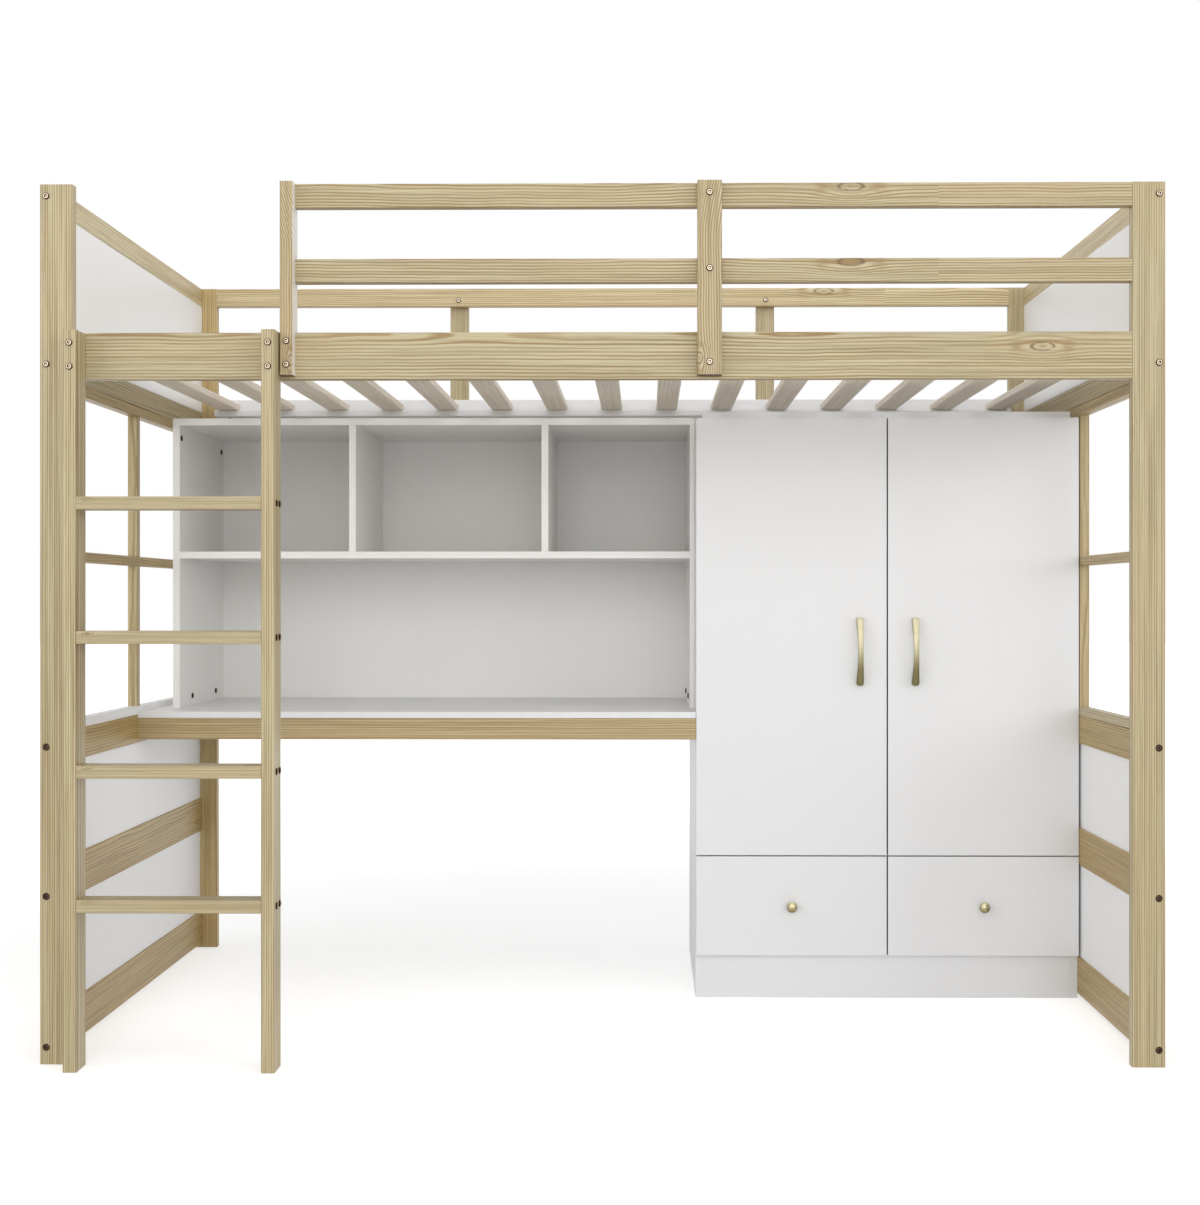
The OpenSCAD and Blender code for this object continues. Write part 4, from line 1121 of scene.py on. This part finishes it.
@dataclass
class BedBase(SubAssembly):
    """The side rails, the ledges on them and the slats."""

    title: str = "bed base"
    seed: float = 43.0
    slat_pitch: float = 0.13046
    slats_left: int = 7
    slat_seed: float = 74.0
    timbers: tuple[Timber, ...] = (
        replace(
            LONG_RAIL,
            node="side_rail_front",
            knots=(Knot(0.787, 0.0153),),
            ring=0.006,
            contrast=1.5,
        ),
    )
    boards: tuple[str, ...] = ("side_rail_rear", "slat_ledges")

    def dress(self) -> None:
        """Gives each piece of the base its finish."""
        super().dress()
        rows = (Row(Axis.X, self.slat_pitch, -self.slats_left * self.slat_pitch),)
        slats = Timber("slats", Axis.Y, Axis.X, rows)
        self.cover((slats.node,), PLANED_PINE.dress(slats, self.slat_seed), "planed pine")


@dataclass
class Guard(SubAssembly):
    """The guard rails round the mattress and what carries them."""

    title: str = "guard rails"
    seed: float = 71.0
    timbers: tuple[Timber, ...] = (
        replace(
            LONG_RAIL,
            node="guard_rail_top",
            knots=(Knot(0.446, 0.0143, 0.024),),
            joints=(0.602,),
        ),
        replace(
            LONG_RAIL,
            node="guard_rail_middle",
            knots=(Knot(0.446, 0.0147, 0.024),),
            joints=(0.602,),
        ),
        # Painted light: the rear rail is made paler.
        replace(
            LONG_RAIL,
            node="guard_rail_rear",
            knots=(Knot(0.505, 0.014, 0.024),),
            joints=(0.651,),
            gain=1.28,
        ),
        replace(
            GUARD_BOARD,
            node="guard_post",
            knots=(Knot(1.2575, 0.0085, 0.010, 0.0055),),
            ring=0.0044,
            lean=-0.32,
            lean_from=1.47,
            contrast=2.4,
            pale=0.85,
        ),
        replace(
            GUARD_BOARD,
            node="guard_board_front",
            knots=(Knot(1.2606, -0.0186, 0.011, 0.0065),),
            ring=0.0043,
            lean=0.16,
            lean_from=1.49,
            contrast=2.2,
        ),
        Timber("guard_boards_rear", Axis.Z, Axis.X, (Row(Axis.X, 0.734, -0.367),)),
    )


@dataclass
class Ladder(SubAssembly):
    """The upright ladder: two stiles and four rungs."""

    title: str = "ladder"
    seed: float = 97.0
    # Painted light: the stiles are made a little paler.
    timbers: tuple[Timber, ...] = (
        replace(STILE, node="ladder_stile_left", gain=1.05),
        replace(STILE, node="ladder_stile_right", gain=1.06),
        Timber(
            "ladder_rungs",
            Axis.X,
            Axis.Z,
            (Row(Axis.Z, 0.237, 0.2915),),
            (Knot(-0.902, 0.006, 0.004, 0.003),),
            ring=0.0026,
            sway=0.2,
            ripple=0.5,
        ),
    )


@dataclass
class Desk(SubAssembly):
    """The desk top on its two aprons."""

    title: str = "desk"
    seed: float = 131.0
    # Painted light and painted shade: the aprons are made paler and browner.
    timbers: tuple[Timber, ...] = (
        Timber("desk_aprons", Axis.X, Axis.Z, (Row(Axis.Y, 0.504, 0.016),), sway=0.5, gain=1.1, painted_shade=0.4),
    )
    boards: tuple[str, ...] = ("desk_top",)


@dataclass
class ShelfUnit(SubAssembly):
    """The shelf unit that stands on the desk."""

    title: str = "shelf unit"
    board: WhiteBoard = WARM_BOARD
    boards: tuple[str, ...] = (
        "shelf_unit_sides",
        "shelf_unit_top",
        "shelf_unit_shelf",
        "shelf_unit_dividers",
        "shelf_unit_back",
    )


@dataclass
class Wardrobe(SubAssembly):
    """The wardrobe with its doors, drawers, hinges, slides and handles."""

    title: str = "wardrobe"
    boards: tuple[str, ...] = (
        "wardrobe_sides",
        "wardrobe_top",
        "wardrobe_decks",
        "wardrobe_drawer_divider",
        "wardrobe_plinth",
        "wardrobe_back",
        "drawer_box_left",
        "drawer_box_right",
    )
    fronts: tuple[str, ...] = ("door_left", "door_right", "drawer_front_left", "drawer_front_right")
    front_edge: float = 0.0003
    metal_edge: float = 0.0002
    handle_half: float = 0.0705
    handle_hollow: float = 0.0575
    handle_reach: float = 0.025
    handle_rise: float = 0.010
    strap: float = 0.004
    strap_crown: float = 0.0009
    strap_edge: float = 0.0013
    strap_steps: int = 48
    end_width: float = 0.0144
    waist: float = 0.0106
    corner: float = 0.0035
    front: float = 0.005
    knob_line: tuple[tuple[float, float], ...] = (
        (0.0063, 0.0),
        (0.0063, 0.0012),
        (0.0058, 0.0019),
        (0.0047, 0.0030),
        (0.0042, 0.0050),
        (0.0042, 0.0076),
        (0.0048, 0.0096),
    )
    ball_radius: float = 0.0112
    ball_half: float = 0.0084
    ball_from: int = -50
    ball_to: int = 90
    ball_step: int = 10
    knob_steps: int = 48
    plated: tuple[str, ...] = (
        "clothes_rail",
        "hinge_cups_left",
        "hinge_cups_right",
        "hinge_arms",
        "slide_channels",
        "slide_rails_left",
        "slide_rails_right",
    )

    def dress(self) -> None:
        """Gives each piece of the wardrobe its finish."""
        super().dress()
        # The fronts get painted shade where they meet.
        gap_shaded = GAP_SHADED_BOARD.dress("white_fronts")
        self.cover(self.fronts, gap_shaded, "sealed white board", self.front_edge)
        self.cover(self.plated, ZINC.dress("bright_zinc"), "zinc", self.metal_edge)

    def build(self) -> None:
        """Makes the handles and the knobs."""
        gold = GOLD.dress("satin_gold")
        polished = POLISHED_GOLD.dress("polished_gold")
        zinc = ZINC.dress("bright_zinc_screws")
        for side in ("left", "right"):
            handle = Workpiece(
                f"handle_bow_{side}",
                f"door_handle_{side}",
                f"door_{side}",
                "gold_metal",
                (gold, zinc),
            )
            handle.finish(self._handle(handle.node))
            knob = Workpiece(
                f"turned_knob_{side}",
                f"drawer_knob_{side}",
                f"drawer_{side}",
                "gold_metal",
                (polished, zinc),
            )
            knob.finish(self._knob(knob.node))

    @staticmethod
    def _screws(node: str) -> tuple[bmesh.types.BMesh, Vector]:
        """Keeps the screws of a handle or a knob and clears away its plain body.

        Args:
            node: The CAD piece.

        Returns:
            The screws, and the middle of the body that was cleared away.
        """
        shape = copy_of(node)
        solids = shells(shape)
        widths = [(box_of(solid)[1] - box_of(solid)[0]).x for solid in solids]
        body = solids[widths.index(max(widths))]
        low, high = box_of(body)
        bmesh.ops.delete(shape, geom=body, context="VERTS")
        for face in shape.faces:
            face.material_index = 1
        return shape, (low + high) / 2

    def _handle(self, node: str) -> bmesh.types.BMesh:
        """Makes a bowed handle that narrows to its waist.

        Args:
            node: The CAD piece that it stands for.

        Returns:
            The handle with its screws.
        """
        shape, middle = self._screws(node)
        bow = bmesh.new()
        bmesh.ops.create_grid(bow, x_segments=4, y_segments=self.strap_steps, size=1.0)
        back = bmesh.ops.extrude_face_region(bow, geom=bow.faces[:])["geom"]
        under = {vert for vert in back if isinstance(vert, bmesh.types.BMVert)}
        hollow = self.handle_reach - self.strap
        sweep = (self.handle_hollow**2 + hollow**2) / (2 * hollow)
        for vert in bow.verts:
            across, run = vert.co.x, vert.co.y
            height = run * self.handle_half
            width = self.waist + (self.end_width - self.waist) * run * run
            left = (self.handle_half + height) / self.corner
            if left < 1.0:
                width -= 2 * self.corner * (1.0 - math.sqrt(1.0 - (1.0 - left) ** 2))
            depth = self.handle_reach - self.handle_rise * run * run - self.strap_crown * across * across
            if vert in under:
                inside = abs(height) < self.handle_hollow
                depth = hollow - sweep + math.sqrt(sweep**2 - height**2) if inside else 0.0
            vert.co = (middle.x + across * width / 2, self.front - max(depth, 0.0), middle.z + height)
        bmesh.ops.recalc_face_normals(bow, faces=bow.faces)
        sharp = [edge for edge in bow.edges if edge.calc_face_angle(0.0) > SHARP_FROM]
        bmesh.ops.bevel(
            bow,
            geom=sharp,
            offset=self.strap_edge,
            offset_type="OFFSET",
            segments=3,
            profile=0.5,
            affect="EDGES",
            material=-1,
        )
        return joined(shape, bow)

    def _knob(self, node: str) -> bmesh.types.BMesh:
        """Turns a ball knob on its flared foot.

        Args:
            node: The CAD piece that it stands for.

        Returns:
            The knob with its screw.
        """
        shape, middle = self._screws(node)
        turned = bmesh.new()
        centre = self.handle_reach - self.ball_half
        line = list(self.knob_line)
        for degrees in range(self.ball_from, self.ball_to + 1, self.ball_step):
            turn = math.radians(degrees)
            line.append((self.ball_radius * math.cos(turn), centre + self.ball_half * math.sin(turn)))
        verts = [turned.verts.new((middle.x + out, self.front - deep, middle.z)) for out, deep in line]
        edges = [turned.edges.new(pair) for pair in zip(verts, verts[1:])]
        bmesh.ops.spin(
            turned,
            geom=verts + edges,
            cent=(middle.x, self.front, middle.z),
            axis=(0, 1, 0),
            angle=math.tau,
            steps=self.knob_steps,
            use_merge=True,
        )
        bmesh.ops.remove_doubles(turned, verts=turned.verts, dist=SAME_PLACE)
        rim = [edge for edge in turned.edges if edge.is_boundary]
        bmesh.ops.holes_fill(turned, edges=rim)
        bmesh.ops.recalc_face_normals(turned, faces=turned.faces)
        return joined(shape, turned)


@dataclass
class Fasteners(SubAssembly):
    """The bolts, nuts and screws of the bed."""

    title: str = "fasteners"
    head: float = 0.006
    height: float = 0.003
    shank: float = 0.003
    socket: float = 0.0031
    socket_floor: float = 0.0014
    socket_depth: float = 0.0021
    flat_share: float = 0.66
    rim_share: float = 0.77
    rim_height: float = 0.97
    side_height: float = 0.5
    facets: int = 24
    crease: float = 50.0

    def dress(self) -> None:
        """Gives each plain fastener its plating."""
        self.cover(("bolt_nuts", "screws"), BLACKENED.dress("blackened_steel"), "dark steel")

    def build(self) -> None:
        """Turns the heads of the bolts, each with its rounded rim and its six-sided socket."""
        # The socket walls and the head sides get painted shade.
        socket = SHADE_METAL.dress("painted_shade_wall")
        kinds = (("frame_bolts", COPPER, "copper_metal"), ("sunk_bolts", BLACKENED, "dark_steel"))
        for node, metal, slot in kinds:
            finishes = (metal.dress(f"plate_{node}"), socket)
            piece = Workpiece(f"turned_{node}", node, "frame", slot, finishes, self.crease)
            shape = bmesh.new()
            for seat, turn, length in self._seats(node):
                joined(shape, self._bolt(Matrix.Translation(seat) @ turn, length))
            bmesh.ops.recalc_face_normals(shape, faces=shape.faces)
            piece.finish(shape)

    def _seats(self, node: str) -> Iterable[tuple[Vector, Matrix, float]]:
        """Finds where each bolt of a CAD piece sits.

        Args:
            node: The piece.

        Yields:
            The middle of the face under the head, the turn from up to the way the head faces, and the
            shank's length.
        """
        shape = copy_of(node)
        for shell in shells(shape):
            low, high = box_of(shell)
            size = high - low
            line = max(range(3), key=lambda axis: size[axis])
            middle = (low + high) / 2
            wide = [vert.co[line] for vert in shell if self._off(vert, middle, line) > 0.9 * self.head]
            outward = 1.0 if sum(wide) / len(wide) > middle[line] else -1.0
            seat = middle.copy()
            seat[line] = (high[line] if outward > 0 else low[line]) - outward * self.height
            way = Vector([outward if axis == line else 0.0 for axis in range(3)])
            yield seat, way.to_track_quat("Z", "Y").to_matrix().to_4x4(), size[line] - self.height
        shape.free()

    @staticmethod
    def _off(vert: bmesh.types.BMVert, middle: Vector, line: int) -> float:
        """How far a corner lies from a bolt's axis."""
        return math.hypot(*(vert.co[axis] - middle[axis] for axis in range(3) if axis != line))

    def _bolt(self, place: Matrix, length: float) -> bmesh.types.BMesh:
        """Makes one bolt.

        Args:
            place: Where its seat is and which way the head faces.
            length: Length of its shank.

        Returns:
            The bolt in its place.
        """
        shape = bmesh.new()
        top = Matrix.Translation((0, 0, self.height))
        bmesh.ops.create_circle(shape, segments=6, radius=self.socket, matrix=top)
        bmesh.ops.subdivide_edges(shape, edges=shape.edges[:], cuts=self.facets // 6 - 1)
        inner = shape.edges[:]
        flat = self.head * self.flat_share
        ring = bmesh.ops.create_circle(shape, segments=self.facets, radius=flat, matrix=top)["verts"]
        outer = list(dict.fromkeys(edge for vert in ring for edge in vert.link_edges))
        bmesh.ops.bridge_loops(shape, edges=inner + outer)
        outer = self._pull(shape, outer, self.head * self.rim_share, self.height * self.rim_height)
        bright = set(shape.faces)
        for radius, height in (
            (self.head, self.height * self.side_height),
            (self.head, 0.0),
            (self.shank, 0.0),
            (self.shank, -length),
        ):
            outer = self._pull(shape, outer, radius, height)
        bmesh.ops.edgeloop_fill(shape, edges=outer)
        floor = self._pull(shape, inner, self.socket_floor, self.height - self.socket_depth)
        # Painted shade: every face but the flat top and the socket's floor takes the dark metal.
        for face in set(shape.faces) - bright:
            face.material_index = 1
        bmesh.ops.edgeloop_fill(shape, edges=floor)
        bmesh.ops.transform(shape, matrix=place, verts=shape.verts)
        return shape

    @staticmethod
    def _pull(
        shape: bmesh.types.BMesh, edges: list[bmesh.types.BMEdge], radius: float, height: float
    ) -> list[bmesh.types.BMEdge]:
        """Pulls a ring of edges out to a new ring.

        Args:
            shape: The shape.
            edges: The ring.
            radius: Radius of the new ring.
            height: Height of the new ring.

        Returns:
            The edges of the new ring.
        """
        pulled = bmesh.ops.extrude_edge_only(shape, edges=edges)["geom"]
        for vert in (item for item in pulled if isinstance(item, bmesh.types.BMVert)):
            scale = radius / math.hypot(vert.co.x, vert.co.y)
            vert.co = (vert.co.x * scale, vert.co.y * scale, height)
        return [item for item in pulled if isinstance(item, bmesh.types.BMEdge)]


@dataclass(frozen=True)
class Lamp:
    """A soft square lamp: where it hangs, its side in metres, its power in watts and what it points at."""

    name: str
    at: Point
    size: float
    power: float
    aim: Point = (0.0, 0.0, 0.7)

    def hang(self) -> None:
        """Hangs the lamp in the scene."""
        light = bpy.data.lights.new(self.name, "AREA")
        light.shape = "SQUARE"
        light.size = self.size
        light.energy = self.power
        lamp = placed(self.name, light)
        lamp.location = self.at
        lamp.rotation_euler = (Vector(self.aim) - Vector(self.at)).to_track_quat("-Z", "Y").to_euler()
        log.info("studio: %s hung", self.name)


@dataclass
class Studio:
    """The floor, the lamps, the sky and the camera."""

    camera_at: Point = (0.07914, -3.61296, 0.8323)
    camera_turn: float = 0.0108
    sensor: float = 36.0
    lens: float = 52.05
    shift_x: float = -0.02192
    shift_y: float = -0.00241
    sight: float = 200.0
    sky_low: float = 1.42
    sky_high: float = 0.05
    sky_from: float = -0.1
    sky_to: float = 0.9
    floor_half: float = 30.0
    floor_drop: float = 0.0005
    floor_shade: float = 0.52
    floor_tone: Colour = (0.8, 0.8, 0.8)
    floor_roughness: float = 0.9
    white_from: float = 1.4
    white_to: float = 4.0
    lamps: tuple[Lamp, ...] = (
        Lamp("lamp_high", (0.2, -5.8, 2.9), 3.2, 36.0),
        Lamp("lamp_front", (0.2, -6.8, 1.5), 3.6, 45.0),
        Lamp("lamp_left", (-4.6, -4.4, 2.6), 3.4, 50.0),
        Lamp("lamp_right", (4.8, -4.4, 2.6), 3.4, 56.0),
        Lamp("lamp_top", (0.3, -1.2, 5.0), 4.5, 84.0, (0.0, 0.0, 0.8)),
    )

    def build(self) -> None:
        """Makes the whole studio."""
        self._floor()
        self._sky()
        for lamp in self.lamps:
            lamp.hang()
        self._camera()
        bpy.context.scene.view_settings.view_transform = "Standard"

    def _floor(self) -> None:
        """Makes the plain pale floor, which the camera sees as white where nothing shades it."""
        shape = bmesh.new()
        bmesh.ops.create_grid(shape, x_segments=1, y_segments=1, size=self.floor_half)
        bmesh.ops.translate(shape, verts=shape.verts, vec=(0, 0, -self.floor_drop))
        mesh = mesh_of("floor", shape)
        floor = placed("floor", mesh)
        bench = Bench("white_floor")
        rays = bench.node("ShaderNodeLightPath")
        seen = Wire(bench, rays.outputs["Is Camera Ray"]).most(Wire(bench, rays.outputs["Is Glossy Ray"]))
        x, y, _ = bench.place()
        far = (x * x + y * y).root().step(self.white_from, self.white_to)
        lift = bench.blend(far, (self.floor_shade,) * 3, (1.0, 1.0, 1.0))
        glow = bench.blend(seen, (0.0, 0.0, 0.0), lift)
        mesh.materials.append(
            bench.close(
                {
                    "Base Color": self.floor_tone,
                    "Roughness": self.floor_roughness,
                    "Emission Color": glow,
                    "Emission Strength": 1.0,
                }
            )
        )

    def _sky(self) -> None:
        """Lights the room evenly and shows white to the camera and in shiny metal."""
        bench = Bench("studio", sky=True)
        bpy.context.scene.world = bench.made
        way = bench.node("ShaderNodeTexCoord").outputs["Generated"]
        rise = bench.split("ShaderNodeSeparateXYZ", way)[2].step(self.sky_from, self.sky_to)
        light = bench.blend(rise, (self.sky_low,) * 3, (self.sky_high,) * 3)
        rays = bench.node("ShaderNodeLightPath")
        seen = Wire(bench, rays.outputs["Is Camera Ray"])
        for kind in ("Is Glossy Ray", "Is Transmission Ray"):
            seen = seen.most(Wire(bench, rays.outputs[kind]))
        colour = bench.blend(seen, light, (1.0, 1.0, 1.0))
        glow = bench.node("ShaderNodeBackground", None, {0: colour, 1: 1.0})
        bench.node("ShaderNodeOutputWorld", None, {0: glow.outputs[0]})

    def _camera(self) -> None:
        """Stands the camera where the photograph was taken."""
        lens = bpy.data.cameras.new("camera")
        lens.sensor_fit = "HORIZONTAL"
        lens.sensor_width = self.sensor
        lens.lens = self.lens
        lens.shift_x = self.shift_x
        lens.shift_y = self.shift_y
        lens.clip_end = self.sight
        camera = placed("camera", lens)
        camera.location = self.camera_at
        camera.rotation_euler = (math.radians(90), 0.0, self.camera_turn)
        bpy.context.scene.camera = camera


def main() -> None:
    """Builds and dresses each part of the bed, then the studio."""
    logging.basicConfig(level=logging.INFO, format="%(message)s")
    parts: tuple[SubAssembly, ...] = (
        EndFrames(),
        BedBase(),
        Guard(),
        Ladder(),
        Desk(),
        ShelfUnit(),
        Wardrobe(),
        Fasteners(),
    )
    for part in parts:
        part.dress()
        part.build()
    Studio().build()


if __name__ == "__main__":
    main()
